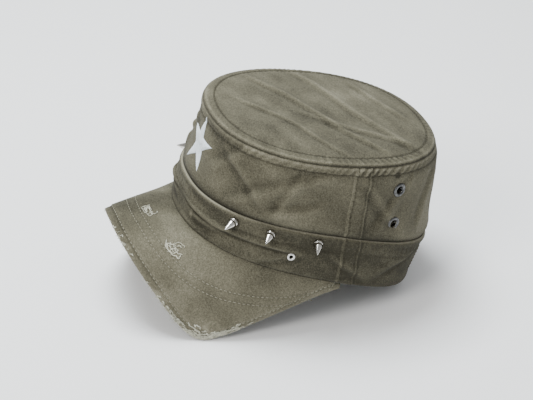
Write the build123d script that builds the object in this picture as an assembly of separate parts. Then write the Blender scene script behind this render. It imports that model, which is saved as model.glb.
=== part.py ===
from build123d import *
import math
import os

# A flat-topped military field cap, at rest on the two corners of its peak and the back of its rim.
# It is drawn in the wearer's frame: the front rim lies in z = 0, the peak points along -Y and the
# wearer's left is +X.  At the end everything is tilted back onto the surface that the cap rests on.

# ---- driving dimensions, millimetres and degrees ----
# oval sections: half width, half length, centre y, roundness (2 is an ellipse), height
RIM_OVAL = (86.0, 102.7, -0.7, 2.27)
RIM_LEVEL = -22.0
FOLD_OVAL = (84.6, 106.4, 0.7, 2.30)
FOLD_LEVEL = 33.0
TOP_OVAL = (82.4, 94.2, -9.8, 2.26)
TOP_LEVEL = 98.8             # height of the top plane at the centre of the top oval
TOP_SLOPE = 0.105            # the top plane climbs towards the back

RIM_DROP = 18.6              # how far the back of the rim hangs below the front
BAND_FRONT_HEIGHT = 31.6     # height of the band's folded upper edge at the front
SEAM_Y, SEAM_LEAN = 8.7, 0.165   # the side seams: y at the rim, and forward lean going up

CLOTH = 1.4
BAND_CLOTH = 1.5
CROWN_INSET = 1.6            # the crown wall tucks in behind the band by this much
TAPE_CLOTH, TAPE_HALF_WIDTH, TOP_TAPE_HEIGHT = 0.8, 7.0, 10.0
STIFFENER_CLOTH, STIFFENER_REACH = 1.0, -34.0     # it ends this far ahead of the side seams
TOUCH = 0.05                 # clearance between sewn layers
BAND_OVERLAP = 3.0
HEM_HEIGHT, HEM_DEPTH = 3.0, 5.8
SWEATBAND_HEIGHT, SWEATBAND_INSET, SWEATBAND_CLOTH = 24.0, 5.9, 1.2

ARCH_HALF_WIDTH, ARCH_TOP = 36.0, 22.0
ARCH_RISE = 0.3              # the arch's curved part, as a share of its half width
BINDING_WIDTH, BINDING_RAISE = 3.0, 0.5

PEAK_CORNER = (77.0, -91.3, -75.8)
PEAK_FRONT_Y, PEAK_FRONT_Z = -157.6, -14.9
PEAK_FRONT_POWER, PEAK_DROOP_POWER = 2.48, 2.2
PEAK_END_ANGLE = 96.0        # where the peak's edge runs into the rim, from the front
PEAK_COVER, PEAK_BOARD = 0.9, 2.0
PEAK_EDGE_FLANGE = 6.5
PEAK_CROWN = 3.0             # how far the peak bulges above a straight line from rim to edge

STRAP_CENTRE_Y, STRAP_RADIUS = 16.1, 84.4
STRAP_THICKNESS = 1.0
STRAP_LOW, STRAP_HIGH = -9.0, 11.0
STRAP_RIGHT_END, STRAP_LEFT_END = -38.0, 32.0
# the clasp, by angle from the back towards the wearer's left and by depth outwards from the strap
HINGE_ANGLE, HINGE_DEPTH, PIN_RADIUS = 6.5, 3.2, 0.9
BAR_ANGLE, BAR_DEPTH, BAR_RADIUS = 20.5, 2.7, 1.0
FRAME_START, FRAME_END, FRAME_OUT, FRAME_IN = 5.0, 21.6, 4.6, -2.0
FRAME_BASE_END, FRAME_BASE = 18.5, 1.0
LEVER_END, LEVER_OUT, LEVER_IN, LEVER_KNUCKLE = 18.2, 3.7, 2.7, 1.8
TAB_START, TAB_END, TAB_OUT, TAB_IN = 21.5, 29.0, 3.3, 2.1
TAB_LOOP_START, TAB_LOOP_END, TAB_LOOP = 19.4, 21.7, 1.7
CHEEK_GAP, CHEEK = 0.4, 1.2

SPIKES = ((42.0, 26.8), (61.0, 28.4), (82.0, 29.8))      # angle from the front, height
SPIKE_LENGTH, SPIKE_RADIUS = 13.0, 4.0
SPIKE_LEAN_FORWARD, SPIKE_LEAN_DOWN = 0.22, 0.36
SCREW_RADIUS, SCREW_HEAD_RADIUS = 1.45, 3.3
VENTS = ((114.0, 81.0), (113.0, 51.3))
VENT_OUTER_RADIUS, VENT_HOLE_RADIUS = 5.5, 2.9
BAND_EYELET = (73.0, 13.8)
BAND_EYELET_RADIUS, BAND_EYELET_HOLE = 3.3, 1.4
METAL_SHEET = 0.7

STAR_RADIUS, STAR_INNER_RATIO, STAR_HEIGHT, STAR_THICKNESS = 23.0, 0.40, 61.0, 0.8

WIDE = 400.0                 # larger than the cap, for cutting solids
OVAL_STEPS = 48


# ---- the cap's ovals and the curves where they are cut ----
def oval_xy(oval, angle, inset=0.0):
    half_width, half_length, centre_y, power = oval
    s, c = math.sin(math.radians(angle)), math.cos(math.radians(angle))
    x = (half_width - inset) * math.copysign(abs(s) ** (2 / power), s)
    y = centre_y - (half_length - inset) * math.copysign(abs(c) ** (2 / power), c)
    return x, y


def top_plane_z(y):
    return TOP_LEVEL + TOP_SLOPE * (y - TOP_OVAL[2])


def back_share(y):
    """0 at the front of the rim, 1 at its back."""
    return min(max((y - RIM_OVAL[2] + RIM_OVAL[1]) / (2 * RIM_OVAL[1]), 0.0), 1.05)


def rim_z(y):
    return -RIM_DROP * back_share(y) ** 3


def fold_z(y):
    v = back_share(y)
    return BAND_FRONT_HEIGHT + 6.6 * v - 11.2 * v ** 3 + 12.1 * v * (1 - v)


def seam_y(z):
    return SEAM_Y - SEAM_LEAN * z


def oval_wire(oval, inset, height):
    """A closed oval whose height may change with y."""
    points = []
    for i in range(OVAL_STEPS):
        x, y = oval_xy(oval, 360.0 * i / OVAL_STEPS, inset)
        points.append((x, y, height(y)))
    return Wire([Edge.make_spline([Vector(*p) for p in points], periodic=True)])


def wall_solid(rim_inset, fold_inset, top_inset):
    """The filled cap body up to the top plane, inset from its outer faces."""
    rim = oval_wire(RIM_OVAL, rim_inset, lambda y: RIM_LEVEL)
    fold = oval_wire(FOLD_OVAL, fold_inset, lambda y: FOLD_LEVEL)
    top = oval_wire(TOP_OVAL, top_inset, top_plane_z)
    return Solid.make_loft([rim, fold], ruled=True) + Solid.make_loft([fold, top], ruled=True)


def band_shell(depth, thickness):
    """A layer of the band's wall, by depth below its outer face."""
    return wall_solid(depth, depth, depth) - wall_solid(*(depth + thickness,) * 3)


def crown_shell(depth, thickness):
    """A layer of the crown's wall, by depth below its outer face."""
    outer = wall_solid(CROWN_INSET + depth, CROWN_INSET + depth, depth)
    inner = wall_solid(CROWN_INSET + depth + thickness, CROWN_INSET + depth + thickness, depth + thickness)
    return outer - inner


def side_profile(low, high, y_from=-130.0, y_to=130.0, x_from=-WIDE / 2, x_to=WIDE / 2):
    """Everything between two height curves, seen from the side."""
    steps = 26
    ys = [y_from + (y_to - y_from) * i / steps for i in range(steps + 1)]
    outline = [(y, low(y)) for y in ys] + [(y, high(y)) for y in reversed(ys)]
    face = make_face(Plane.YZ * Polyline(*outline, close=True))
    return Pos(x_from, 0, 0) * extrude(face, amount=x_to - x_from, dir=(1, 0, 0))


def ahead_of_seam(offset=0.0):
    """Everything in front of the side seams, or of a line moved back by the offset."""
    corners = [(-WIDE, -60), (seam_y(-60) + offset, -60), (seam_y(160) + offset, 160), (-WIDE, 160)]
    face = make_face(Plane.YZ * Polyline(*corners, close=True))
    return Pos(-WIDE / 2, 0, 0) * extrude(face, amount=WIDE, dir=(1, 0, 0))


def half_space(side):
    """The wearer's left (+1) or right (-1) half."""
    return Pos(side * WIDE / 2, 0, 0) * Box(WIDE, WIDE, WIDE)


def wall_plane(angle, height, lean_forward=0.0, lean_down=0.0, side=1):
    """A plane on the outer wall whose z axis points out of it."""
    level = (height - RIM_LEVEL) / (FOLD_LEVEL - RIM_LEVEL)
    lower, upper = RIM_OVAL, FOLD_OVAL
    if height > FOLD_LEVEL:
        lower, upper = FOLD_OVAL, TOP_OVAL
        level = (height - FOLD_LEVEL) / (top_plane_z(oval_xy(TOP_OVAL, angle)[1]) - FOLD_LEVEL)

    def at(a):
        x0, y0 = oval_xy(lower, a)
        x1, y1 = oval_xy(upper, a)
        return Vector(side * (x0 + (x1 - x0) * level), y0 + (y1 - y0) * level, height)

    along = at(angle + 1) - at(angle - 1)
    x0, y0 = oval_xy(lower, angle)
    x1, y1 = oval_xy(upper, angle)
    rise = FOLD_LEVEL - RIM_LEVEL if height <= FOLD_LEVEL else top_plane_z(y1) - FOLD_LEVEL
    up = Vector(side * (x1 - x0), y1 - y0, rise)
    normal = along.cross(up).normalized() * side
    direction = (normal + Vector(0, -lean_forward, -lean_down)).normalized()
    return Plane(origin=at(angle), x_dir=along.normalized().cross(direction).cross(direction) * -1,
                 z_dir=direction)


def drill(plane, radius, low, high):
    """A round bar along a plane's axis."""
    return plane * Pos(0, 0, low) * Cylinder(radius, high - low,
                                             align=(Align.CENTER, Align.CENTER, Align.MIN))


# ---- the back arch, the crown, the band and their linings ----
def arch_prism(grow):
    """The arched cut-out at the back, or the same arch grown outwards."""
    half, top = ARCH_HALF_WIDTH + grow, ARCH_TOP + grow
    shoulder = top - ARCH_RISE * half
    with BuildSketch(Plane.XZ) as arch:
        with BuildLine():
            left = (-half, -60)
            Line(left, (-half, shoulder))
            ThreePointArc((-half, shoulder), (0, top), (half, shoulder))
            Line((half, shoulder), (half, -60))
            Line((half, -60), left)
        make_face()
    return extrude(arch.sketch, amount=-WIDE)


def crown_zone():
    return side_profile(lambda y: fold_z(y) - BAND_OVERLAP, top_plane_z)


def punch(solid, sides, places, radius, **lean):
    """Cut round holes through a wall layer."""
    for side in sides:
        for angle, height in places:
            solid = solid - drill(wall_plane(angle, height, side=side, **lean), radius, -12, 12)
    return solid


def crown_panels():
    wall = crown_shell(0, CLOTH) & crown_zone()
    wall = punch(wall, (1, -1), VENTS, VENT_HOLE_RADIUS + METAL_SHEET)
    wall = punch(wall, (1, -1), SPIKES, SCREW_RADIUS, lean_forward=SPIKE_LEAN_FORWARD,
                 lean_down=SPIKE_LEAN_DOWN)
    back = wall - ahead_of_seam()
    return {"crown_front_panel": wall & ahead_of_seam(),
            "crown_rear_left_panel": back & half_space(1),
            "crown_rear_right_panel": back & half_space(-1)}


def top_panel():
    steps_out = ((0.0, 0.0), (1.4, 0.2), (3.5, 9.0), (5.4, 24.0), (6.4, 46.0))
    steps_in = ((-0.5, 2.2), (1.6, 9.0), (3.9, 24.0), (5.0, 46.0))

    def dome(steps):
        wires = [oval_wire(TOP_OVAL, inset, lambda y, h=height: top_plane_z(y) + TOUCH + h)
                 for height, inset in steps]
        return Solid.make_loft(wires, ruled=True)

    return dome(steps_out) - dome(steps_in)


def band_pieces():
    zone = side_profile(rim_z, fold_z)
    hem_zone = side_profile(rim_z, lambda y: rim_z(y) + HEM_HEIGHT)
    band = (band_shell(0, BAND_CLOTH) & zone) + (band_shell(BAND_CLOTH - 0.5, HEM_DEPTH - BAND_CLOTH + 0.5)
                                                & hem_zone)
    band = band - (arch_prism(BINDING_WIDTH) - ahead_of_seam())
    band = punch(band, (1, -1), SPIKES, SCREW_RADIUS, lean_forward=SPIKE_LEAN_FORWARD,
                 lean_down=SPIKE_LEAN_DOWN)
    band = punch(band, (1,), (BAND_EYELET,), BAND_EYELET_HOLE + METAL_SHEET)
    back = band - ahead_of_seam()
    return {"band_front": band & ahead_of_seam(),
            "band_rear_left": back & half_space(1),
            "band_rear_right": back & half_space(-1)}


def linings():
    """Tapes over the seams, the stiffener behind the front and the sweatband."""
    depth = CLOTH + TOUCH
    tape = crown_shell(depth, TAPE_CLOTH)
    under_top = side_profile(lambda y: top_plane_z(y) - TOP_TAPE_HEIGHT, lambda y: top_plane_z(y) - 0.6)
    tall = side_profile(lambda y: fold_z(y) - BAND_OVERLAP, lambda y: top_plane_z(y) - TOP_TAPE_HEIGHT - 0.3)
    beside_seam = ahead_of_seam(TAPE_HALF_WIDTH) - ahead_of_seam(-TAPE_HALF_WIDTH)
    back_strip = Pos(0, WIDE / 2, 0) * Box(2 * TAPE_HALF_WIDTH, WIDE, WIDE)
    stiff = crown_shell(depth, STIFFENER_CLOTH) & tall & ahead_of_seam(STIFFENER_REACH)
    sweatband = band_shell(SWEATBAND_INSET, SWEATBAND_CLOTH) & side_profile(
        lambda y: rim_z(y) + 0.8, lambda y: rim_z(y) + SWEATBAND_HEIGHT)
    sweatband = sweatband - (Pos(0, WIDE / 2, 0) * Box(2 * ARCH_HALF_WIDTH + 8, WIDE, WIDE))
    return {"top_seam_tape": tape & under_top,
            "side_seam_tape_left": tape & tall & beside_seam & half_space(1),
            "side_seam_tape_right": tape & tall & beside_seam & half_space(-1),
            "back_seam_tape": tape & tall & back_strip,
            "front_stiffener": punch(stiff, (1, -1), SPIKES, SCREW_HEAD_RADIUS + 1.0,
                                     lean_forward=SPIKE_LEAN_FORWARD, lean_down=SPIKE_LEAN_DOWN),
            "sweatband": sweatband}


def arch_binding():
    frame = arch_prism(BINDING_WIDTH - TOUCH) - arch_prism(0)
    layer = band_shell(-BINDING_RAISE, BAND_CLOTH + BINDING_RAISE)
    return (layer & frame & side_profile(rim_z, fold_z)) - ahead_of_seam()


# ---- peak ----
def peak_edge(share):
    """The peak's outer edge on the wearer's left: share 0 is the front, 1 the corner, 2 the end."""
    corner = Vector(*PEAK_CORNER)
    if share <= 1:
        return Vector(corner.X * share,
                      PEAK_FRONT_Y + (corner.Y - PEAK_FRONT_Y) * share ** PEAK_FRONT_POWER,
                      PEAK_FRONT_Z + (corner.Z - PEAK_FRONT_Z) * share ** PEAK_DROOP_POWER)
    t = share - 1
    x, y = oval_xy(RIM_OVAL, PEAK_END_ANGLE)
    end = Vector(x + 0.5, y, rim_z(y) - 4.5)
    pulls = (corner, corner + Vector(8, 25, 8), end + Vector(3, -34, -15), end)
    weights = ((1 - t) ** 3, 3 * (1 - t) ** 2 * t, 3 * (1 - t) * t ** 2, t ** 3)
    return sum((p * w for p, w in zip(pulls, weights)), Vector(0, 0, 0))


def rounded_edge(share):
    """The same edge with its corner eased over a short stretch each side."""
    reach = 0.13
    away = abs(share - 1)
    if away >= reach:
        return peak_edge(share)
    before, after = peak_edge(1 - reach), peak_edge(1 + reach)
    t = (share - 1 + reach) / (2 * reach)
    return before * (1 - t) ** 2 + peak_edge(1) * 2 * t * (1 - t) + after * t ** 2


def peak_station(u):
    """Rim point, edge point for u from -1 at the right end to 1 at the left end."""
    side = -1 if u < 0 else 1
    share = 2 * abs(u)
    angle = PEAK_END_ANGLE * abs(u)
    x, y = oval_xy(RIM_OVAL, angle, 1.0)
    inner = Vector(side * x, y, rim_z(y) - 0.15)
    outer = rounded_edge(share)
    return inner, Vector(side * outer.X, outer.Y, outer.Z)


def peak_layer(profile, stations=57):
    """Loft a strip from rim to edge. The profile gives distance and depth for each rim-to-edge line."""
    us = [-1 + 2 * i / (stations - 1) for i in range(stations)]
    wires = []
    for i, u in enumerate(us):
        inner, outer = peak_station(u)
        ahead, behind = peak_station(us[min(i + 1, stations - 1)]), peak_station(us[max(i - 1, 0)])
        along = (ahead[0] + ahead[1]) - (behind[0] + behind[1])
        run = outer - inner
        length = run.length
        run = run.normalized()
        normal = run.cross(along).normalized()
        normal = normal if normal.Z + 0.3 * (normal.Y * -1) > 0 or normal.X * u > 0 else normal * -1
        corners = []
        for distance, depth in profile(length):
            share = min(max(distance / length, 0), 1)
            bulge = 4 * PEAK_CROWN * share * (1 - share) * min(1.0, length / 50)
            corners.append(inner + run * distance + normal * (bulge - depth))
        wires.append(Wire.make_polygon(corners, close=True))
    return Solid.make_loft(wires, ruled=True)


def peak_pieces():
    top_depth = PEAK_COVER
    board_low = PEAK_COVER + TOUCH + PEAK_BOARD
    under_low = board_low + TOUCH + PEAK_COVER
    middle = (top_depth + board_low) / 2

    def inner_end(length):
        return length - min(PEAK_EDGE_FLANGE, 0.4 * length)

    def top_cover(length):
        end = inner_end(length)
        return ((0, 0), (length * 0.25, 0), (length * 0.5, 0), (end, 0), (length, middle - 1.0),
                (length, middle - 0.03), (end + 0.4, middle - 0.03), (end, top_depth),
                (length * 0.5, top_depth), (length * 0.25, top_depth), (0, top_depth))

    def under_cover(length):
        end = inner_end(length)
        return ((0, under_low), (length * 0.25, under_low), (length * 0.5, under_low), (end, under_low),
                (length, middle + 1.0), (length, middle + 0.03), (end + 0.4, middle + 0.03),
                (end, board_low + TOUCH), (length * 0.5, board_low + TOUCH),
                (length * 0.25, board_low + TOUCH), (0, board_low + TOUCH))

    def board(length):
        end = inner_end(length) - 0.3
        start = min(1.0, 0.1 * length)
        return ((start, top_depth + TOUCH), (length * 0.25, top_depth + TOUCH),
                (length * 0.5, top_depth + TOUCH), (end, top_depth + TOUCH), (end, board_low),
                (length * 0.5, board_low), (length * 0.25, board_low), (start, board_low))

    return {"visor_top_cover": peak_layer(top_cover), "visor_board": peak_layer(board),
            "visor_under_cover": peak_layer(under_cover)}


# ---- metal trim and the star ----
def spike_sets(side):
    spikes, screws = [], []
    body = wall_solid(0, 0, 0)
    head_layer = crown_shell(CLOTH + TOUCH, 1.0)
    for angle, height in SPIKES:
        plane = wall_plane(angle, height, SPIKE_LEAN_FORWARD, SPIKE_LEAN_DOWN, side)
        half_profile = Polyline((0, -2.5), (SPIKE_RADIUS, -2.5), (SPIKE_RADIUS, 1.6), (SPIKE_RADIUS - 0.6, 2.5),
                                (0.4, SPIKE_LENGTH), (0, SPIKE_LENGTH), close=True)
        cone = revolve(make_face(Plane.XZ * half_profile), Axis.Z)
        cone = cone - Cylinder(SCREW_RADIUS, 10)
        spikes.append((plane * cone) - body)
        head = drill(plane, SCREW_HEAD_RADIUS, -9, 0) & head_layer
        screws.append(head + drill(plane, SCREW_RADIUS - 0.03, -3.4, 4.6))
    return spikes, screws


def ring_on_wall(layer, plane, outer_radius, inner_radius):
    return (drill(plane, outer_radius, -12, 12) & layer) - drill(plane, inner_radius, -13, 13)


def eyelet(plane, outer_radius, hole_radius, face_layer, through_layer):
    """A flange on the outer face with a barrel through the cloth."""
    flange = ring_on_wall(face_layer, plane, outer_radius, hole_radius)
    barrel = ring_on_wall(through_layer, plane, hole_radius + METAL_SHEET - 0.02, hole_radius)
    return flange + barrel


def vent_sets(side):
    face, back = crown_shell(-METAL_SHEET, METAL_SHEET), crown_shell(CLOTH + 0.02, METAL_SHEET)
    through = crown_shell(-METAL_SHEET / 2, CLOTH + METAL_SHEET / 2)
    planes = [wall_plane(angle, height, side=side) for angle, height in VENTS]
    eyelets = [eyelet(p, VENT_OUTER_RADIUS, VENT_HOLE_RADIUS, face, through) for p in planes]
    washers = [ring_on_wall(back, p, VENT_OUTER_RADIUS - 0.3, VENT_HOLE_RADIUS) for p in planes]
    return eyelets, washers


def band_eyelet_pieces():
    plane = wall_plane(*BAND_EYELET)
    face, through = band_shell(-METAL_SHEET, METAL_SHEET), band_shell(-METAL_SHEET / 2,
                                                                     BAND_CLOTH + METAL_SHEET / 2)
    back = band_shell(BAND_CLOTH + 0.02, METAL_SHEET)
    return {"band_eyelet": eyelet(plane, BAND_EYELET_RADIUS, BAND_EYELET_HOLE, face, through),
            "band_eyelet_washer": ring_on_wall(back, plane, BAND_EYELET_RADIUS - 0.2, BAND_EYELET_HOLE)}


def star():
    points = []
    for i in range(10):
        radius = STAR_RADIUS * (1 if i % 2 == 0 else STAR_INNER_RATIO)
        angle = math.radians(90 + 36 * i)
        points.append((radius * math.cos(angle), STAR_HEIGHT + radius * math.sin(angle)))
    prism = extrude(make_face(Plane.XZ * Polyline(*points, close=True)), amount=WIDE)
    return prism & crown_shell(-STAR_THICKNESS - 0.02, STAR_THICKNESS)


# ---- the strap and its clasp, drawn on the strap's own round path ----
def path_block(depth_out, depth_in, angle_from, angle_to, low, high):
    """A curved block on the strap's path. Depths are outwards from the strap's middle line, and
    angles run from the back towards the wearer's left."""
    outer, inner = STRAP_RADIUS + depth_out, STRAP_RADIUS + depth_in

    def spot(radius, angle):
        return (radius * math.sin(math.radians(angle)), STRAP_CENTRE_Y + radius * math.cos(math.radians(angle)))

    middle = (angle_from + angle_to) / 2
    with BuildSketch(Plane.XY.offset(low)) as block:
        with BuildLine():
            ThreePointArc(spot(outer, angle_from), spot(outer, middle), spot(outer, angle_to))
            Line(spot(outer, angle_to), spot(inner, angle_to))
            ThreePointArc(spot(inner, angle_to), spot(inner, middle), spot(inner, angle_from))
            Line(spot(inner, angle_from), spot(outer, angle_from))
        make_face()
    return extrude(block.sketch, amount=high - low)


def upright(depth, angle, radius, low, high):
    """An upright round bar beside the strap's path."""
    r, a = STRAP_RADIUS + depth, math.radians(angle)
    return Pos(r * math.sin(a), STRAP_CENTRE_Y + r * math.cos(a), low) * Cylinder(
        radius, high - low, align=(Align.CENTER, Align.CENTER, Align.MIN))


def closure():
    half = STRAP_THICKNESS / 2
    low, high = STRAP_LOW - CHEEK_GAP, STRAP_HIGH + CHEEK_GAP
    cheeks = [path_block(FRAME_OUT, FRAME_IN, FRAME_START, FRAME_END, z, z + CHEEK)
              for z in (low - CHEEK, high)]
    base = path_block(FRAME_IN + FRAME_BASE, FRAME_IN, FRAME_START, FRAME_BASE_END, low - CHEEK, high + CHEEK)
    frame = base + cheeks[0] + cheeks[1] + upright(BAR_DEPTH, BAR_ANGLE, BAR_RADIUS, low - 0.3, high + 0.3)
    frame = frame - upright(HINGE_DEPTH, HINGE_ANGLE, PIN_RADIUS, low - CHEEK - 1, high + CHEEK + 1)
    lever = path_block(LEVER_OUT, LEVER_IN, HINGE_ANGLE, LEVER_END, low + 0.5, high - 0.5) + upright(
        HINGE_DEPTH, HINGE_ANGLE, LEVER_KNUCKLE, low + 0.5, high - 0.5)
    lever = lever - upright(HINGE_DEPTH, HINGE_ANGLE, PIN_RADIUS + 0.06, low - 2, high + 2)
    tab_edge = ARCH_HALF_WIDTH - 0.3
    tab = path_block(TAB_OUT, TAB_IN, TAB_START, TAB_END, STRAP_LOW + 1, STRAP_HIGH - 1) + path_block(
        BAR_DEPTH + TAB_LOOP, BAR_DEPTH - TAB_LOOP, TAB_LOOP_START, TAB_LOOP_END, STRAP_LOW + 1, STRAP_HIGH - 1)
    tab = tab - upright(BAR_DEPTH, BAR_ANGLE, BAR_RADIUS + 0.03, low - 2, high + 2)
    tab = tab - (Pos(tab_edge + WIDE / 2, 0, 0) * Box(WIDE, WIDE, WIDE))
    return {"back_strap": path_block(half, -half, STRAP_RIGHT_END, STRAP_LEFT_END, STRAP_LOW, STRAP_HIGH),
            "clasp_frame": frame, "clasp_lever": lever,
            "clasp_pin": upright(HINGE_DEPTH, HINGE_ANGLE, PIN_RADIUS, low - CHEEK, high + CHEEK),
            "clasp_tab": tab}


# ---- assembly ----
def rest_tilt():
    """The angle that brings the peak's corners and the rim beside the back arch to one level."""
    foot_x = ARCH_HALF_WIDTH + BINDING_WIDTH
    half_width, half_length, centre_y, power = RIM_OVAL
    foot_y = centre_y + half_length * (1 - (foot_x / half_width) ** power) ** (1 / power)
    corner = rounded_edge(1)
    return math.degrees(math.atan2(rim_z(foot_y) - corner.Z, foot_y - corner.Y))


def build():
    pieces = {"top_panel": top_panel()}
    for group in (crown_panels(), band_pieces(), linings(), peak_pieces(), band_eyelet_pieces(), closure()):
        pieces.update(group)
    pieces["back_arch_binding"] = arch_binding()
    pieces["front_star"] = star()
    for name, side in (("left", 1), ("right", -1)):
        spikes, screws = spike_sets(side)
        eyelets, washers = vent_sets(side)
        pieces["spikes_" + name] = Compound(spikes)
        pieces["spike_screws_" + name] = Compound(screws)
        pieces["vent_eyelets_" + name] = Compound(eyelets)
        pieces["vent_washers_" + name] = Compound(washers)
    return pieces


def place(pieces):
    """Tilt the cap back by the rest angle, then stand it on z = 0 about its own centre."""
    tilted = {name: Rot(-rest_tilt(), 0, 0) * piece for name, piece in pieces.items()}
    boxes = [piece.bounding_box() for piece in tilted.values()]
    low = [min(getattr(b.min, axis) for b in boxes) for axis in "XYZ"]
    high = [max(getattr(b.max, axis) for b in boxes) for axis in "XY"]
    shift = Pos(-(low[0] + high[0]) / 2, -(low[1] + high[1]) / 2, -low[2])
    return {name: shift * piece for name, piece in tilted.items()}, shift


if __name__ == "__main__":
    os.makedirs("parts", exist_ok=True)
    placed, moved = place(build())
    for name, piece in placed.items():
        export_step(piece, f"parts/{name}.step")
    print("tilt", rest_tilt(), "shift", moved.position)
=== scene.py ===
"""A washed olive military field cap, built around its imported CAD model."""
import math

import bpy
import numpy as np
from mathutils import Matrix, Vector


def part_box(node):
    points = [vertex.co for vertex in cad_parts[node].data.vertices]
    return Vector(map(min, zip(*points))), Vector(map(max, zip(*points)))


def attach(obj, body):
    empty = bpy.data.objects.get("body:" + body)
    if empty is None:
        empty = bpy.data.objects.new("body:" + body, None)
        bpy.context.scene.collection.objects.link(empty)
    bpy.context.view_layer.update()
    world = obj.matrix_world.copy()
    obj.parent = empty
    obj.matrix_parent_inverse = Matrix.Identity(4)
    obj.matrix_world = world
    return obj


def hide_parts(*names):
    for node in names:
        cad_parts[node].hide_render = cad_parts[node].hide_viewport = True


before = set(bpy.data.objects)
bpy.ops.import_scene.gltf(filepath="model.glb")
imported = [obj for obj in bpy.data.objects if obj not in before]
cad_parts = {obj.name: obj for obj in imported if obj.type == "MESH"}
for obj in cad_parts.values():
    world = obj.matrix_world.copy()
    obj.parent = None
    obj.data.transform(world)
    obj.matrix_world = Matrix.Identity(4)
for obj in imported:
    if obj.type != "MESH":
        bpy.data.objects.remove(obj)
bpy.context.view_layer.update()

# ---- the cap's own shape, in the wearer's frame, millimetres and degrees (as in the CAD) ----
# half width, half length, centre y, roundness
RIM_OVAL = (86.0, 102.7, -0.7, 2.27)
FOLD_OVAL = (84.6, 106.4, 0.7, 2.30)
TOP_OVAL = (82.4, 94.2, -9.8, 2.26)
RIM_LEVEL, FOLD_LEVEL, TOP_LEVEL, TOP_SLOPE = -22.0, 33.0, 98.8, 0.105
RIM_DROP, BAND_FRONT_HEIGHT, ARCH_FOOT_X = 18.6, 31.6, 39.0
SEAM_Y, SEAM_LEAN = 8.7, 0.165
CLOTH, BAND_CLOTH, CROWN_INSET = 1.4, 1.5, 1.6
PEAK_CORNER = np.array((77.0, -91.3, -75.8))
PEAK_FRONT_Y, PEAK_FRONT_Z = -157.6, -14.9
PEAK_FRONT_POWER, PEAK_DROOP_POWER, PEAK_END_ANGLE = 2.48, 2.2, 96.0
PEAK_CROWN, PEAK_DEPTH = 3.0, 3.9
STRAP_CENTRE_Y, STRAP_RADIUS = 16.1, 84.4
# the strap and the clasp's tab: angles on the strap's circle, heights
STRAP_SPAN, STRAP_HEIGHTS, STRAP_HALF_THICK = (-38.0, 32.0), (-9.0, 11.0), 0.5
TAB_SPAN, TAB_HEIGHTS, TAB_LOOP = (19.3, 24.3), (-8.0, 10.0), 20.5
SPIKES = ((42.0, 26.8), (61.0, 28.4), (82.0, 29.8))
SPIKE_LEAN_FORWARD, SPIKE_LEAN_DOWN = 0.22, 0.36
VENTS = ((114.0, 81.0), (113.0, 51.3))
BAND_EYELET = (73.0, 13.8)
VENT_HOLE, EYELET_HOLE = 3.1, 1.7                # radii cut in the cloth
TAPE_HALF, STIFFENER_REACH = 7.0, 36.0           # half a tape's width; forward of the side seam
SWEATBAND_GAP, SWEATBAND_HEIGHT, SWEATBAND_DEPTH = 27.5, 24.0, 5.9    # the gap is in degrees from the back
PIN_ANGLE, PIN_RADIUS_OUT = 6.5, 3.2
ARCH_CENTRE_Z, ARCH_RADIUS = -45.85, 70.85      # the circle of the arch binding's outer edge
# the binding's middle line: half its width, its circle, and where its upright ends stop
BINDING_HALF, BINDING_RADIUS, BINDING_CENTRE_Z = 37.5, 68.1, -44.6
BINDING_SHOULDER, BINDING_FOOT = 12.25, -17.4
STAR_RADIUS, STAR_INNER_RATIO, STAR_HEIGHT = 23.0, 0.40, 61.0


def oval_xy(oval, angle, inset=0.0):
    half_width, half_length, centre_y, power = oval
    s, c = np.sin(np.radians(angle)), np.cos(np.radians(angle))
    x = (half_width - inset) * np.sign(s) * np.abs(s) ** (2 / power)
    y = centre_y - (half_length - inset) * np.sign(c) * np.abs(c) ** (2 / power)
    return x, y


def top_plane_z(y):
    return TOP_LEVEL + TOP_SLOPE * (y - TOP_OVAL[2])


def back_share(y):
    return np.clip((y - RIM_OVAL[2] + RIM_OVAL[1]) / (2 * RIM_OVAL[1]), 0.0, 1.05)


def rim_z(angle):
    return -RIM_DROP * back_share(oval_xy(RIM_OVAL, angle)[1]) ** 3


def fold_z(angle):
    v = back_share(oval_xy(FOLD_OVAL, angle)[1])
    return BAND_FRONT_HEIGHT + 6.6 * v - 11.2 * v ** 3 + 12.1 * v * (1 - v)


def top_z(angle):
    return top_plane_z(oval_xy(TOP_OVAL, angle)[1])


def wall_xyz(angle, z, depth, crown):
    """A point on a wall layer: depth is measured inwards from the crown's or the band's outer face."""
    angle, z, depth = np.broadcast_arrays(*[np.asarray(v, float) for v in (angle, z, depth)])
    high = z > FOLD_LEVEL
    climb = top_z(angle) - FOLD_LEVEL
    k_low = (z - RIM_LEVEL) / (FOLD_LEVEL - RIM_LEVEL)
    k_high = (z - FOLD_LEVEL) / climb
    inset_low = depth + (CROWN_INSET if crown else 0.0)
    inset_high = depth + (CROWN_INSET * (1 - k_high) if crown else 0.0)
    fold_low = np.stack(oval_xy(FOLD_OVAL, angle, inset_low))
    fold_high = np.stack(oval_xy(FOLD_OVAL, angle, inset_high))
    rim = np.stack(oval_xy(RIM_OVAL, angle, inset_low))
    top = np.stack(oval_xy(TOP_OVAL, angle, inset_high))
    xy = np.where(high, fold_high + (top - fold_high) * k_high, rim + (fold_low - rim) * k_low)
    return np.stack([xy[0], xy[1], z], -1)


def wall_normal(angle, z, crown):
    along = wall_xyz(angle + 0.5, z, 0, crown) - wall_xyz(angle - 0.5, z, 0, crown)
    up = wall_xyz(angle, z + 0.5, 0, crown) - wall_xyz(angle, z - 0.5, 0, crown)
    normal = np.cross(along, up)
    return normal / np.linalg.norm(normal, axis=-1, keepdims=True)


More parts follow.
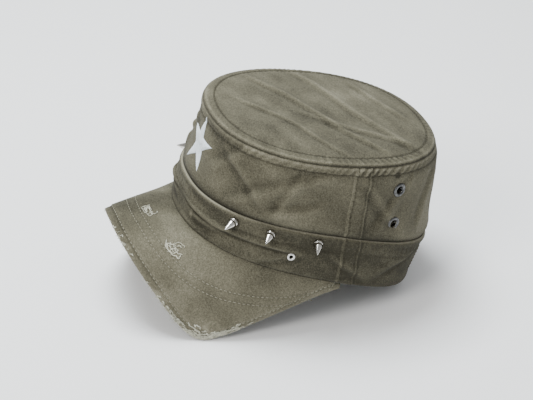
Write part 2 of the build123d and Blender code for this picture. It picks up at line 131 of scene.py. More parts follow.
# distance round the wall from the front, and the side seam's angle at each height
ARC_ANGLES = np.linspace(-200, 200, 1601)
ARC_POINTS = wall_xyz(ARC_ANGLES, 33.0, 0, False)
ARC_LENGTHS = np.concatenate([[0], np.cumsum(np.linalg.norm(np.diff(ARC_POINTS, axis=0), axis=1))])
ARC_LENGTHS -= np.interp(0, ARC_ANGLES, ARC_LENGTHS)
SEAM_LEVELS = np.linspace(-30, 120, 76)
SEAM_SPAN = np.linspace(60, 130, 141)
SEAM_ANGLES = np.array([
    np.interp(0, wall_xyz(SEAM_SPAN, z, 0, False)[:, 1] - (SEAM_Y - SEAM_LEAN * z), SEAM_SPAN)
    for z in SEAM_LEVELS])


def around(angle):
    """The distance round the wall from the front; angle_at is its reverse."""
    return np.interp(angle, ARC_ANGLES, ARC_LENGTHS)


def angle_at(length):
    return np.interp(length, ARC_LENGTHS, ARC_ANGLES)


def seam_angle(z):
    return np.interp(z, SEAM_LEVELS, SEAM_ANGLES)


def peak_edge(share):
    """The peak's outer edge on the wearer's left: 0 is the front, 1 the corner, 2 the end."""
    share = np.asarray(share, float)[..., None]
    front = np.concatenate([PEAK_CORNER[0] * share,
                            PEAK_FRONT_Y + (PEAK_CORNER[1] - PEAK_FRONT_Y) * share ** PEAK_FRONT_POWER,
                            PEAK_FRONT_Z + (PEAK_CORNER[2] - PEAK_FRONT_Z) * share ** PEAK_DROOP_POWER], -1)
    x, y = oval_xy(RIM_OVAL, PEAK_END_ANGLE)
    end = np.array((x + 0.5, y, rim_z(PEAK_END_ANGLE) - 4.5))
    t = share - 1
    side = ((1 - t) ** 3 * PEAK_CORNER + 3 * (1 - t) ** 2 * t * (PEAK_CORNER + (8, 25, 8))
            + 3 * (1 - t) * t ** 2 * (end + (3, -34, -15)) + t ** 3 * end)
    return np.where(share <= 1, front, side)


def rounded_edge(share):
    """The peak's edge with its corner rounded off."""
    reach = 0.13
    share = np.asarray(share, float)
    t = np.clip((share - 1 + reach) / (2 * reach), 0, 1)[..., None]
    before, corner, after = peak_edge(1 - reach), peak_edge(1.0), peak_edge(1 + reach)
    eased = before * (1 - t) ** 2 + corner * 2 * t * (1 - t) + after * t ** 2
    return np.where((np.abs(share - 1) < reach)[..., None], eased, peak_edge(share))


def peak_lines(u):
    """Rim points and edge points for u from -1 (right end) to 1 (left end)."""
    side = np.where(u < 0, -1.0, 1.0)
    angle = PEAK_END_ANGLE * np.abs(u)
    x, y = oval_xy(RIM_OVAL, angle, 1.0)
    inner = np.stack([side * x, y, rim_z(angle) - 0.15], -1)
    outer = rounded_edge(2 * np.abs(u)) * np.stack([side, np.ones_like(side), np.ones_like(side)], -1)
    return inner, outer


def peak_xyz(u, share, depth=0.0):
    """A point on the peak: share runs from rim to edge, depth goes down from its upper face."""
    u, share = np.broadcast_arrays(np.asarray(u, float), np.asarray(share, float))
    inner, outer = peak_lines(u)
    step = 0.01
    a0, a1 = peak_lines(np.clip(u - step, -1, 1))
    b0, b1 = peak_lines(np.clip(u + step, -1, 1))
    along = (b0 + b1) - (a0 + a1)
    run = outer - inner
    length = np.linalg.norm(run, axis=-1, keepdims=True)
    normal = np.cross(run / length, along)
    normal /= np.linalg.norm(normal, axis=-1, keepdims=True)
    bulge = 4 * PEAK_CROWN * share * (1 - share) * np.minimum(1.0, length[..., 0] / 50)
    return inner + run * share[..., None] + normal * (bulge - depth)[..., None]


def peak_length(u):
    inner, outer = peak_lines(np.asarray(u, float))
    return np.linalg.norm(outer - inner, axis=-1)


# ---- placing: the wearer's frame is tilted back onto the cap's resting points ----
def rest_tilt():
    """The cap rests on the peak's corners and on the rim beside the back arch."""
    half_width, half_length, centre_y, power = RIM_OVAL
    foot_y = centre_y + half_length * (1 - (ARCH_FOOT_X / half_width) ** power) ** (1 / power)
    foot_z = -RIM_DROP * back_share(foot_y) ** 3
    corner = rounded_edge(1.0)
    return math.atan2(foot_z - corner[2], foot_y - corner[1])


TILT_COS, TILT_SIN = math.cos(rest_tilt()), math.sin(rest_tilt())


def tilted(points):
    points = np.asarray(points, float)
    return np.stack([points[..., 0], points[..., 1] * TILT_COS + points[..., 2] * TILT_SIN,
                     points[..., 2] * TILT_COS - points[..., 1] * TILT_SIN], -1)


# the clasp's pin has a known place in both frames, so it gives the shift between them
PIN_RADIUS, PIN_TURN = STRAP_RADIUS + PIN_RADIUS_OUT, math.radians(PIN_ANGLE)
PIN_HOME = np.array((PIN_RADIUS * math.sin(PIN_TURN), STRAP_CENTRE_Y + PIN_RADIUS * math.cos(PIN_TURN), 1.0))
pin_low, pin_high = [np.array(c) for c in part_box("clasp_pin")]
SHIFT = (pin_low + pin_high) / 2 - tilted(PIN_HOME) / 1000


def to_world(points):
    return tilted(points) / 1000 + SHIFT


FLOOR_GAP = 0.0003      # metres: loose threads stay this far above the floor


# ---- small helpers ----
def smooth(x, low, high):
    t = np.clip((x - low) / (high - low), 0, 1)
    return t * t * (3 - 2 * t)


def bump(x, width):
    return np.exp(-(x / width) ** 2)


def window(x, low, high, soft):
    return smooth(x, low - soft, low + soft) * (1 - smooth(x, high - soft, high + soft))


def noise(points, size, seed):
    """Smooth, repeatable noise of about -1 to 1 with features of the given size."""
    points = np.asarray(points, float)
    rng = np.random.default_rng(seed)
    total = np.zeros(points.shape[:-1])
    waves = 16
    for _ in range(waves):
        direction = rng.normal(size=points.shape[-1])
        direction *= rng.uniform(0.6, 1.5) * 2.2 / (size * np.linalg.norm(direction))
        total += np.sin(points @ direction + rng.uniform(0, 2 * math.pi))
    return total / math.sqrt(waves / 2) / 1.6


def ridged(points, size, seed):
    """Noise with sharp valleys, for creases: -1 in the valleys to 1 between them."""
    return np.minimum(np.abs(noise(points, size, seed)) * 4.5, 2.0) - 1.0


def unit(v):
    return v / np.maximum(np.linalg.norm(v, axis=-1, keepdims=True), 1e-9)


def link_object(name, data):
    item = bpy.data.objects.new(name, data)
    bpy.context.scene.collection.objects.link(item)
    return item


def add_object(name, verts, faces, uvs=None, tone=None):
    """A mesh object from points in the wearer's frame. uvs are per vertex, in millimetres."""
    mesh = bpy.data.meshes.new(name)
    mesh.from_pydata(to_world(np.asarray(verts).reshape(-1, 3)).tolist(), [],
                     [[int(corner) for corner in face] for face in faces])
    if uvs is not None:
        layer = mesh.uv_layers.new(name="cloth_mm")
        loops = np.zeros(len(mesh.loops), dtype=np.int32)
        mesh.loops.foreach_get("vertex_index", loops)
        layer.data.foreach_set("uv", np.asarray(uvs, float).reshape(-1, 2)[loops].ravel())
    if tone is not None:
        attribute = mesh.attributes.new("tone", "FLOAT", "POINT")
        attribute.data.foreach_set("value", np.asarray(tone, float).ravel())
    mesh.polygons.foreach_set("use_smooth", [True] * len(mesh.polygons))
    mesh.validate()
    mesh.update()
    return link_object(name, mesh)


def grid_quads(index, wrap_rows=False, wrap_cols=False):
    """Faces between neighbours in a grid of point numbers."""
    if wrap_rows:
        index = np.concatenate([index, index[:1]])
    if wrap_cols:
        index = np.concatenate([index, index[:, :1]], axis=1)
    return np.stack([index[:-1, :-1], index[:-1, 1:], index[1:, 1:], index[1:, :-1]], -1).reshape(-1, 4)


def shell(name, outer, inner, uv, tone, closed=False, holes=()):
    """A closed sheet between two grids of points (rows by columns); closed joins the last column
    to the first. Holes are (place, radius) pairs."""
    rows, cols = outer.shape[:2]
    count = rows * cols
    index = np.arange(count).reshape(rows, cols)
    if closed:
        index = np.concatenate([index, index[:, :1]], axis=1)
    quads = grid_quads(index)
    gone = np.zeros(len(quads), bool)
    middles = outer.reshape(-1, 3)[quads].mean(1)
    for place, radius in holes:
        gone |= np.linalg.norm(middles - place, axis=1) < radius
    edges = {(q[k], q[(k + 1) % 4]) for q in quads[gone].tolist() for k in range(4)}
    hole_walls = [(p, q, q + count, p + count) for p, q in edges if (q, p) not in edges]
    quads = quads[~gone]
    faces = [quads, quads[:, ::-1] + count] + ([np.array(hole_walls)] if hole_walls else [])
    borders = [index[0], index[-1, ::-1]] + ([] if closed else [index[::-1, 0], index[:, -1]])
    for border in borders:
        p, q = border[:-1], border[1:]
        faces.append(np.stack([p, p + count, q + count, q], -1))
    verts = np.concatenate([outer.reshape(-1, 3), inner.reshape(-1, 3)])
    uvs = np.concatenate([uv.reshape(-1, 2)] * 2)
    tones = np.concatenate([tone.ravel(), tone.ravel() - 0.1])
    return add_object(name, verts, np.concatenate(faces), uvs, tones)


def turned_shell(name, *grids):
    """A shell from grids whose columns run the other way round."""
    return shell(name, *[grid[:, ::-1] for grid in grids])


# ---- materials ----
class Nodes:
    """Short calls for building one material's node tree."""

    def __init__(self, name):
        self.material = bpy.data.materials.new(name)
        self.material.use_nodes = True
        self.tree = self.material.node_tree
        self.shader = self.tree.nodes["Principled BSDF"]

    def add(self, kind, **values):
        node = self.tree.nodes.new(kind)
        for key, value in values.items():
            if key.startswith("in_"):
                node.inputs[key[3:].replace("_", " ")].default_value = value
            else:
                setattr(node, key, value)
        return node

    def link(self, source, target):
        self.tree.links.new(source, target)
        return target

    def math(self, operation, a, b):
        node = self.add("ShaderNodeMath", operation=operation)
        for socket, value in zip(node.inputs, (a, b)):
            if isinstance(value, (int, float)):
                socket.default_value = value
            else:
                self.link(value, socket)
        return node.outputs[0]

    def noise(self, vector, scale, detail=2.0, roughness=0.5):
        node = self.add("ShaderNodeTexNoise", in_Scale=scale, in_Detail=detail, in_Roughness=roughness)
        self.link(vector, node.inputs["Vector"])
        return node.outputs["Fac"]

    def base_colour(self, source, *stops):
        """Colour the surface from a value, through (position, colour) stops."""
        node = self.add("ShaderNodeValToRGB")
        elements = node.color_ramp.elements
        elements[0].position, elements[0].color = stops[0]
        elements[1].position, elements[1].color = stops[-1]
        for position, value in stops[1:-1]:
            elements.new(position).color = value
        self.link(source, node.inputs["Fac"])
        self.link(node.outputs["Color"], self.shader.inputs["Base Color"])

    def surface(self, **values):
        for key, value in values.items():
            self.shader.inputs[key.replace("_", " ")].default_value = value

    def relief(self, height, strength, distance):
        node = self.add("ShaderNodeBump", in_Strength=strength, in_Distance=distance)
        self.link(height, node.inputs["Height"])
        self.link(node.outputs["Normal"], self.shader.inputs["Normal"])


def colour(values, factor=1.0):
    return tuple(min(1.0, v * factor) for v in values) + (1.0,)


# noise in the cloth's colour: (scale, amount, detail), from faded blotches down to the yarns
CLOTH_GRAINS = ((14.0, 0.20, 2.0), (55.0, 0.12, 3.0), (260.0, 0.10, 2.0), (800.0, 0.30, 1.0),
                (1600.0, 0.24, 1.0))


def cloth_material(name, base, contrast=1.0, weave=1.0, has_map=True, twill_mm=0.75, sheen=0.03):
    """Washed cotton: faded blotches, fine heather, a twill weave, and from the tone attribute wear, painted
    highlight and painted shade.
    """
    n = Nodes(name)
    place = n.add("ShaderNodeTexCoord").outputs["Object"]
    total = 0.5
    for scale, amount, detail in CLOTH_GRAINS:
        grain = n.math("SUBTRACT", n.noise(place, scale, detail), 0.5)
        total = n.math("ADD", n.math("MULTIPLY", grain, amount * contrast * 2.0), total)
    if has_map:
        # the tone attribute carries wear and also painted highlight and painted shade
        tone = n.add("ShaderNodeAttribute", attribute_name="tone")
        total = n.math("ADD", n.math("MULTIPLY", tone.outputs["Fac"], 0.34), total)
    faded = colour([v * 0.86 + 0.14 * max(base) for v in base], 2.05)
    n.base_colour(total, (0.0, colour(base, 0.30)), (0.5, colour(base)), (1.0, faded))
    n.surface(Roughness=0.92, Specular_IOR_Level=0.1, Sheen_Weight=sheen, Sheen_Roughness=0.5)
    height = n.noise(place, 900.0, 2.0)
    if has_map:
        uv = n.add("ShaderNodeUVMap", uv_map="cloth_mm").outputs["UV"]
        turn = n.add("ShaderNodeMapping", in_Rotation=(0, 0, math.radians(58)))
        n.link(uv, turn.inputs["Vector"])
        ribs = n.add("ShaderNodeTexWave", in_Scale=0.5 / twill_mm, in_Distortion=1.2, in_Detail=1.0)
        n.link(turn.outputs["Vector"], ribs.inputs["Vector"])
        height = n.math("ADD", height, n.math("MULTIPLY", ribs.outputs["Fac"], 0.7))
    n.relief(height, 0.35 * weave, 0.0003)
    return n.material


def metal_material(name, base, rough, wear):
    """Plated metal with rubbed patches and fine scratches."""
    n = Nodes(name)
    place = n.add("ShaderNodeTexCoord").outputs["Object"]
    rub = n.noise(place, 420.0, 3.0, 0.6)
    n.base_colour(rub, (0.3, colour(base, 1.0 - wear)), (0.75, colour(base, 1.0 + wear)))
    n.surface(Metallic=1.0)
    scratch = n.noise(place, 2500.0, 2.0, 0.7)
    n.link(n.math("ADD", n.math("MULTIPLY", scratch, 0.16), rough), n.shader.inputs["Roughness"])
    n.relief(scratch, 0.06, 0.0002)
    return n.material


OLIVE = (0.112, 0.103, 0.0715)
CLOTH_MATERIAL = cloth_material("washed_olive_twill", OLIVE)
LINING_MATERIAL = cloth_material("seam_tape_cotton", (0.082, 0.075, 0.052), 0.8, 0.8)
BINDING_MATERIAL = cloth_material("bias_binding", (0.088, 0.080, 0.055), 0.9, 0.8)
BUCKRAM_MATERIAL = cloth_material("buckram", (0.52, 0.50, 0.43), 0.6, 1.6, twill_mm=1.3)
THREAD_MATERIAL = cloth_material("stitching_thread", (0.062, 0.057, 0.038), 0.5, 0.5, has_map=False)
PALE_THREAD_MATERIAL = cloth_material("pale_thread", (0.21, 0.20, 0.15), 0.5, 0.5, has_map=False)
FRAY_MATERIAL = cloth_material("frayed_threads", (0.47, 0.46, 0.37), 0.7, 0.5, has_map=False)
STAR_MATERIAL = cloth_material("white_satin_stitch", (0.66, 0.72, 0.75), 0.35, 0.6, sheen=0.5)
BOARD_MATERIAL = cloth_material("peak_board", (0.62, 0.62, 0.58), 0.3, 0.3, has_map=False)
SPIKE_MATERIAL = metal_material("polished_nickel", (0.56, 0.54, 0.50), 0.06, 0.35)
GUNMETAL_MATERIAL = metal_material("worn_gunmetal", (0.10, 0.10, 0.10), 0.2, 0.6)
SILVER_MATERIAL = metal_material("dull_silver", (0.62, 0.61, 0.58), 0.26, 0.25)


def dress(item, material, body, slot, *nodes):
    item.data.materials.clear()
    item.data.materials.append(material)
    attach(item, body)
    if nodes:
        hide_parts(*nodes)
    return item


# ---- relief: how far the washed cloth stands out from its smooth shape, and its tone: wear, painted highlight and painted shade ----
# stitch rows: below the top, behind the side seam, below the fold, each side of the back seam
CROWN_ROW, SEAM_ROWS, BAND_ROWS, BACK_ROWS = 8.0, (1.6, 12.6), (12.5,), (1.6, 5.2)
FOLD_STRENGTH = 1.35
# folds of the crown's side: from and to (length round from the front, height), size and width
CROWN_FOLDS = (((140, 88), (60, 44), 1.7, 6.0), ((36, 76), (86, 50), 1.3, 5.0),
               ((114, 86), (98, 44), 1.1, 4.5), ((62, 88), (30, 58), 1.0, 5.0),
               ((132, 57), (88, 41), 1.2, 4.0), ((166, 90), (208, 48), 1.3, 6.0),
               ((218, 88), (182, 44), 1.1, 5.0), ((258, 92), (236, 45), 1.1, 6.0))
BAND_FOLDS = (((20, 8), (66, 20), 0.9, 3.0), ((90, 2), (128, 16), 1.0, 3.5),
              ((150, 22), (188, 4), 0.9, 4.0), ((200, 8), (244, 24), 1.0, 4.0))
INK_SPOT, INK_SIZE = (111.5, 94.0), 1.5         # on the crown: angle and height; radius
BAND_SCUFF = (23.2, -102.0, 9.4)


def fold_place(at, start, end):
    """Where points lie by a fold: the share of the way along it, and the distance beside it."""
    start, end = np.array(start, float), np.array(end, float)
    run = end - start
    return ((at - start) @ run) / (run @ run), ((at - start) @ (-run[1], run[0])) / np.linalg.norm(run)


def folds(length, z, places):
    """Soft folds running between two places, each a ridge with a valley beside it; the tone paints highlight
    on the ridge and shade in the valley.
    """
    lift, tone = 0.0 * z, 0.0 * z
    # the wearer's right side has the same folds, moved and stretched
    at = np.stack(np.broadcast_arrays(np.where(length < 0, 14 - 1.15 * length, length), z), -1)
    wander = 2.5 * noise(np.concatenate([at, at[..., :1] * 0], -1), 26, 91)
    for start, end, amount, width in places:
        along, across = fold_place(at, start, end)
        across = across + wander
        fade = window(along, 0.0, 1.0, 0.2)
        ridge = bump(across, width) - 0.9 * bump(across + width * 1.3, width * 0.7)
        # painted highlight along the ridge, painted shade in the valley beside it
        shade = 0.28 * bump(across, width * 0.6) - 0.4 * bump(across + width * 1.2, width * 0.7)
        lift, tone = lift + fade * amount * FOLD_STRENGTH * ridge, tone + fade * shade
    return lift, tone


def seam_relief(angle, z, points):
    """The flat-felled side seams: a raised strip with a row of stitches along each edge."""
    behind = np.abs(around(angle)) - around(seam_angle(z))
    strip = window(behind, -0.6, 14.2, 0.5)
    lift = 0.85 * strip + 0.22 * strip * np.sin(z * 1.05 + 2.2 * noise(points, 12, 31))
    # tone: lighter along the strip's folded edges as wear; darker just past its back edge as painted shade
    # beside the raised strip
    tone = 1.0 * bump(behind + 0.4, 0.9) + 0.9 * bump(behind - 14.0, 0.9) - 0.7 * bump(behind - 15.6, 1.2)
    for row in SEAM_ROWS:
        lift -= 0.42 * bump(behind - row, 0.75)
        # painted shade in each stitch row's groove
        tone -= 0.6 * bump(behind - row, 0.8)
    middle = around(180.0) - np.abs(around(angle))
    strip = window(middle, -2.0, 6.5, 0.5)
    lift += 0.6 * strip - 0.3 * sum(bump(middle - row, 0.7) for row in BACK_ROWS)
    tone += 0.5 * bump(middle - 6.5, 0.9)
    return lift, tone


def seat(points, places, crown):
    """0 where metal trim sits flat on the cloth, 1 away from it."""
    free = 1.0
    for angle, height in places:
        for side in (1, -1):
            away = np.linalg.norm(points - wall_xyz(side * angle, height, 0, crown), axis=-1)
            free = free * smooth(away, 4.5, 13.0)
    return free


def crown_relief(angle, z):
    points = wall_xyz(angle, z, 0, True)
    length = around(angle)
    below_top = top_z(angle) - z
    above_fold = z - fold_z(angle)
    rear = smooth(np.abs(length), 50, 190)
    lift = 1.8 * noise(points * (1, 1, 0.8), 62, 1) + 0.8 * noise(points, 24, 2)
    slant = np.stack([(length * 0.55 + z) / 13.0, (z * 0.55 - length) / 60.0], -1)
    creases = noise(slant, 1.0, 3)
    valleys = ridged(slant + (3.0, 1.0), 2.2, 9) * smooth(noise(points, 38, 10), -0.5, 0.5)
    fold_lift, fold_tone = folds(length, z, CROWN_FOLDS)
    lift += 1.0 * creases + 0.8 * valleys + fold_lift
    lift = np.maximum(lift, 0.25 * lift - 0.9)
    lift *= smooth(below_top, 0, 14) * smooth(above_fold, 0, 9) * seat(points, VENTS, True)
    puff = bump(above_fold - 9, 8) * (1.0 + 0.7 * noise(points, 40, 4))
    lift += 1.5 * puff - 1.1 * bump(above_fold, 2.6)
    ripple = np.sin(2 * math.pi * (np.abs(length) + 0.9 * below_top) / 7.4 + 4.2 * noise(points, 19, 5))
    strength = (0.14 + 0.22 * rear) * (0.6 + 0.9 * noise(points, 26, 6))
    pucker = strength * ripple * window(below_top, 1.2, CROWN_ROW - 0.6, 0.9)
    lift += pucker
    after = 0.22 * np.sin(2 * math.pi * length / 6.4 + 2.6 * noise(points, 15, 7))
    lift += after * np.exp(-np.maximum(below_top - CROWN_ROW, 0) / 7) * (below_top > CROWN_ROW)
    row = bump(below_top - CROWN_ROW, 0.8)
    lift += 0.3 * window(below_top, 1.0, CROWN_ROW, 0.8) - 0.42 * row
    lift -= 1.2 * np.clip(1 - below_top / 2.4, 0, 1) ** 2
    seam_lift, seam_tone = seam_relief(angle, z, points)
    lift += seam_lift * smooth(below_top, 1.0, 3.0)
    lift = np.where(above_fold < 1.5, np.minimum(lift, -0.15), lift)
    # painted light following the relief: pucker and crease ridges lighter, partly wear and partly painted
    # highlight; hollows and the stitch row's groove darker as painted shade; a painted highlight along the
    # top edge's fold
    tone = 1.3 * pucker + 0.15 * valleys - 1.2 * row + 0.8 * bump(below_top - 2.4, 1.2) + 0.22 * creases
    # darker overall and towards the front; darker towards the back as painted shade
    tone -= 0.12 + 0.18 * smooth(np.abs(length), 140, 200) + 0.6 * (1 - smooth(np.abs(length), 25, 90))
    # painted shadow on the crown just above the band's fold, and painted shade in the groove under the top
    # seam
    tone -= 0.5 * bump(above_fold - 2, 6.0) + 1.5 * bump(below_top - 0.4, 0.8)
    # more painted shadow tight above the fold; darker just below the stitch row
    tone += seam_tone - 0.85 * bump(above_fold, 2.4) - 0.25 * bump(below_top - CROWN_ROW - 2.2, 1.5)
    tone += fold_tone + 0.25 * noise(points, 35, 8)
    tone -= 3.0 * stain(points, [wall_xyz(*INK_SPOT, 0, True)], INK_SIZE)
    return lift, tone


def stain(points, places, size):
    """Small round marks at places in the wearer's frame."""
    total = np.zeros(points.shape[:-1])
    for place in places:
        total += np.exp(-np.sum((points - np.array(place)) ** 2, -1) / (2 * size * size))
    return np.minimum(total, 1)


def band_relief(angle, z):
    points = wall_xyz(angle, z, 0, False)
    length = np.abs(around(angle))
    below_fold = fold_z(angle) - z
    above_rim = z - rim_z(angle)
    lift = 0.9 * noise(points, 48, 11) + 0.35 * noise(points, 16, 12)
    slant = np.stack([(length * 0.25 + z) / 8.0, (z * 0.25 - length) / 50.0], -1)
    creases = noise(slant, 1.0, 13)
    valleys = ridged(slant + (2.0, 1.5), 2.0, 17) * smooth(noise(points, 30, 18), -0.5, 0.5)
    fold_lift, fold_tone = folds(around(angle), z, BAND_FOLDS)
    lift += 0.5 * creases + 0.4 * valleys + fold_lift
    lift = np.maximum(lift, 0.25 * lift - 0.9)
    lift *= smooth(below_fold, 0, 8) * smooth(above_rim, 0, 5) * seat(points, SPIKES + (BAND_EYELET,), False)
    lift += 0.4 * window(below_fold, 0.8, 3.8, 0.5) - 1.1 * np.exp(-below_fold / 0.7)
    pleat_line = fold_z(angle) - 16.5 - 0.025 * length
    span = window(length, 12, 118, 14)
    lift += span * (1.25 * bump(z - pleat_line - 2.2, 2.2) - 1.2 * bump(z - pleat_line + 0.9, 1.0))
    # painted highlight along the band's top fold edge; painted shade under the pleat and painted highlight
    # on its ridge; creases lighter on ridges and darker in hollows
    tone = 2.6 * np.exp(-below_fold / 0.7) - 0.95 * span * bump(z - pleat_line + 0.9, 1.1)
    tone += span * 0.4 * bump(z - pleat_line - 1.4, 1.4) + 0.2 * creases
    for row in BAND_ROWS:
        lift -= 0.36 * bump(below_fold - row, 0.75)
        # painted shade in the stitch row's groove
        tone -= 0.4 * bump(below_fold - row, 0.9)
    ripple = np.sin(2 * math.pi * length / 6.2 + 2.4 * noise(points, 15, 14))
    lift += 0.16 * ripple * window(below_fold, 3.2, 11.5, 1.5)
    lift -= 0.9 * np.exp(-above_rim / 0.8)
    seam_lift, seam_tone = seam_relief(angle, z, points)
    lift += seam_lift * smooth(below_fold, 0.2, 1.5)
    tone += seam_tone + 0.3 * np.exp(-above_rim / 1.0) + 0.2 * noise(points, 30, 15) + 0.1 * valleys
    # painted shade: the whole band darker, and darker towards the back
    tone += fold_tone - 0.75 - 0.4 * smooth(length, 60, 190)
    tone += 1.6 * stain(points, [BAND_SCUFF], 1.6)
    return lift, tone


def lining_relief(angle, z):
    lift = crown_relief(angle, z)[0]
    return np.minimum(lift, 0.6 * lift), 0.2 * noise(wall_xyz(angle, z, 0, True), 20, 21)


def wall_layer(name, start, end, low, high, thickness, depth=0.0, crown=True, relief=lining_relief,
               step=1.0, closed=False, holes=()):
    """A piece of the cap's wall between two angles (functions of height) and two height curves."""
    middle = 50.0
    span = abs(around(end(middle)) - around(start(middle)))
    cols = int(span / step) + 2
    share = np.linspace(0, 1, cols, endpoint=not closed)[None, :]
    rough = start(middle) + (end(middle) - start(middle)) * share
    rows = int(np.max(high(rough) - low(rough)) / step) + 2
    climb = np.linspace(0, 1, rows)[:, None]
    z = low(rough) + (high(rough) - low(rough)) * climb
    for _ in range(2):
        angle = angle_at(around(start(z)) + (around(end(z)) - around(start(z))) * share)
        z = low(angle) + (high(angle) - low(angle)) * climb
    lift, tone = relief(angle, z)
    normal = wall_normal(angle, z, crown)
    base = wall_xyz(angle, z, depth, crown)
    outer = base + normal * lift[..., None]
    inner = base + normal * (np.minimum(lift, lift * 0.6) - thickness)[..., None]
    uv = np.stack([around(angle), z], -1)
    return shell(name, outer, inner, uv, tone, closed, holes)


def fixed(angle):
    return lambda z: np.full_like(np.asarray(z, float), angle) if np.ndim(z) else angle


def right_seam(z):
    return -seam_angle(z)


def on_wall(angle, z, crown):
    """A point on the outer face of the crown's or the band's cloth."""
    lift = (crown_relief if crown else band_relief)(angle, z)[0]
    return wall_xyz(angle, z, 0, crown) + wall_normal(angle, z, crown) * lift[..., None]


def crown_low(angle):
    return fold_z(angle) - 3.0


def arch_low(angle):
    """The band's lower edge, raised over the arch at the back."""
    x = np.abs(oval_xy(FOLD_OVAL, angle)[0])
    arch = ARCH_CENTRE_Z + np.sqrt(np.maximum(ARCH_RADIUS ** 2 - x ** 2, 0))
    inside = (x < 39) & (np.abs(angle) > 90)
    return np.where(inside, np.maximum(arch, rim_z(angle)), rim_z(angle))


def make_walls():
    vents = [(on_wall(np.array(side * angle), np.array(z), True), VENT_HOLE)
             for angle, z in VENTS for side in (1, -1)]
    eyelet = [(on_wall(*np.array(BAND_EYELET), False), EYELET_HOLE)]
    panels = (("front", right_seam, seam_angle), ("rear_left", seam_angle, fixed(180.0)),
              ("rear_right", fixed(-180.0), right_seam))
    for label, crown, low, high, thickness, relief, holes in (
            ("crown_{}_panel", True, crown_low, top_z, CLOTH, crown_relief, vents),
            ("band_{}", False, arch_low, fold_z, BAND_CLOTH, band_relief, eyelet)):
        for panel, start, end in panels:
            name = label.format(panel)
            piece = wall_layer(name + "_cloth", start, end, low, high, thickness, crown=crown, relief=relief,
                               holes=holes)
            dress(piece, CLOTH_MATERIAL, "cap", "cloth", name)


def seam_shifted(side, shift):
    return lambda z: side * angle_at(around(seam_angle(z)) + shift)


def make_linings():
    inside = CLOTH + 0.9

    def under_top(angle):
        return top_z(angle) - 10.3

    ring = wall_layer("top_seam_tape_cloth", fixed(-180.0), fixed(180.0), lambda a: top_z(a) - 10,
                      lambda a: top_z(a) - 0.8, 0.7, inside, closed=True, step=2.0)
    dress(ring, LINING_MATERIAL, "cap", "tape", "top_seam_tape")
    for name, side in (("left", 1), ("right", -1)):
        # the edges run the same way round on both sides
        start, end = [seam_shifted(side, -TAPE_HALF), seam_shifted(side, TAPE_HALF)][::side]
        tape = wall_layer(f"side_seam_tape_{name}_cloth", start, end, crown_low, under_top, 0.7, inside,
                          step=1.6)
        dress(tape, LINING_MATERIAL, "cap", "tape", "side_seam_tape_" + name)
    half = 180 - angle_at(around(180.0) - TAPE_HALF)
    back = wall_layer("back_seam_tape_cloth", fixed(180.0 - half), fixed(180.0 + half), crown_low, under_top,
                      0.7, inside, step=1.6)
    dress(back, LINING_MATERIAL, "cap", "tape", "back_seam_tape")
    stiff = wall_layer("front_stiffener_cloth", seam_shifted(-1, -STIFFENER_REACH),
                       seam_shifted(1, -STIFFENER_REACH), crown_low, under_top, 0.8, inside, step=2.0)
    dress(stiff, BUCKRAM_MATERIAL, "cap", "stiffener", "front_stiffener")
    reach = 180 - SWEATBAND_GAP
    band = wall_layer("sweatband_cloth", fixed(-reach), fixed(reach), lambda a: rim_z(a) + 0.8,
                      lambda a: rim_z(a) + SWEATBAND_HEIGHT, 1.2, SWEATBAND_DEPTH, crown=False, step=2.0,
                      relief=lambda a, z: (0.25 * noise(wall_xyz(a, z, 0, False), 14, 23),
                                           0.6 * bump(z - rim_z(a) - SWEATBAND_HEIGHT + 1.5, 1.2)))
    dress(band, LINING_MATERIAL, "cap", "sweatband", "sweatband")


# ---- top panel ----
TOP_ROW = 8.0
TOP_FOLDS = (((-60, -55), (70, 22), 1.3, 3.6), ((-70, -10), (62, 48), 1.0, 4.5),
             ((-20, -75), (74, -12), 0.8, 3.0), ((5, -30), (60, 62), 0.9, 5.0),
             ((-55, 35), (10, 62), 0.7, 4.0))
TOP_STAINS = ((47.0, 8.0), (22.0, -14.0))


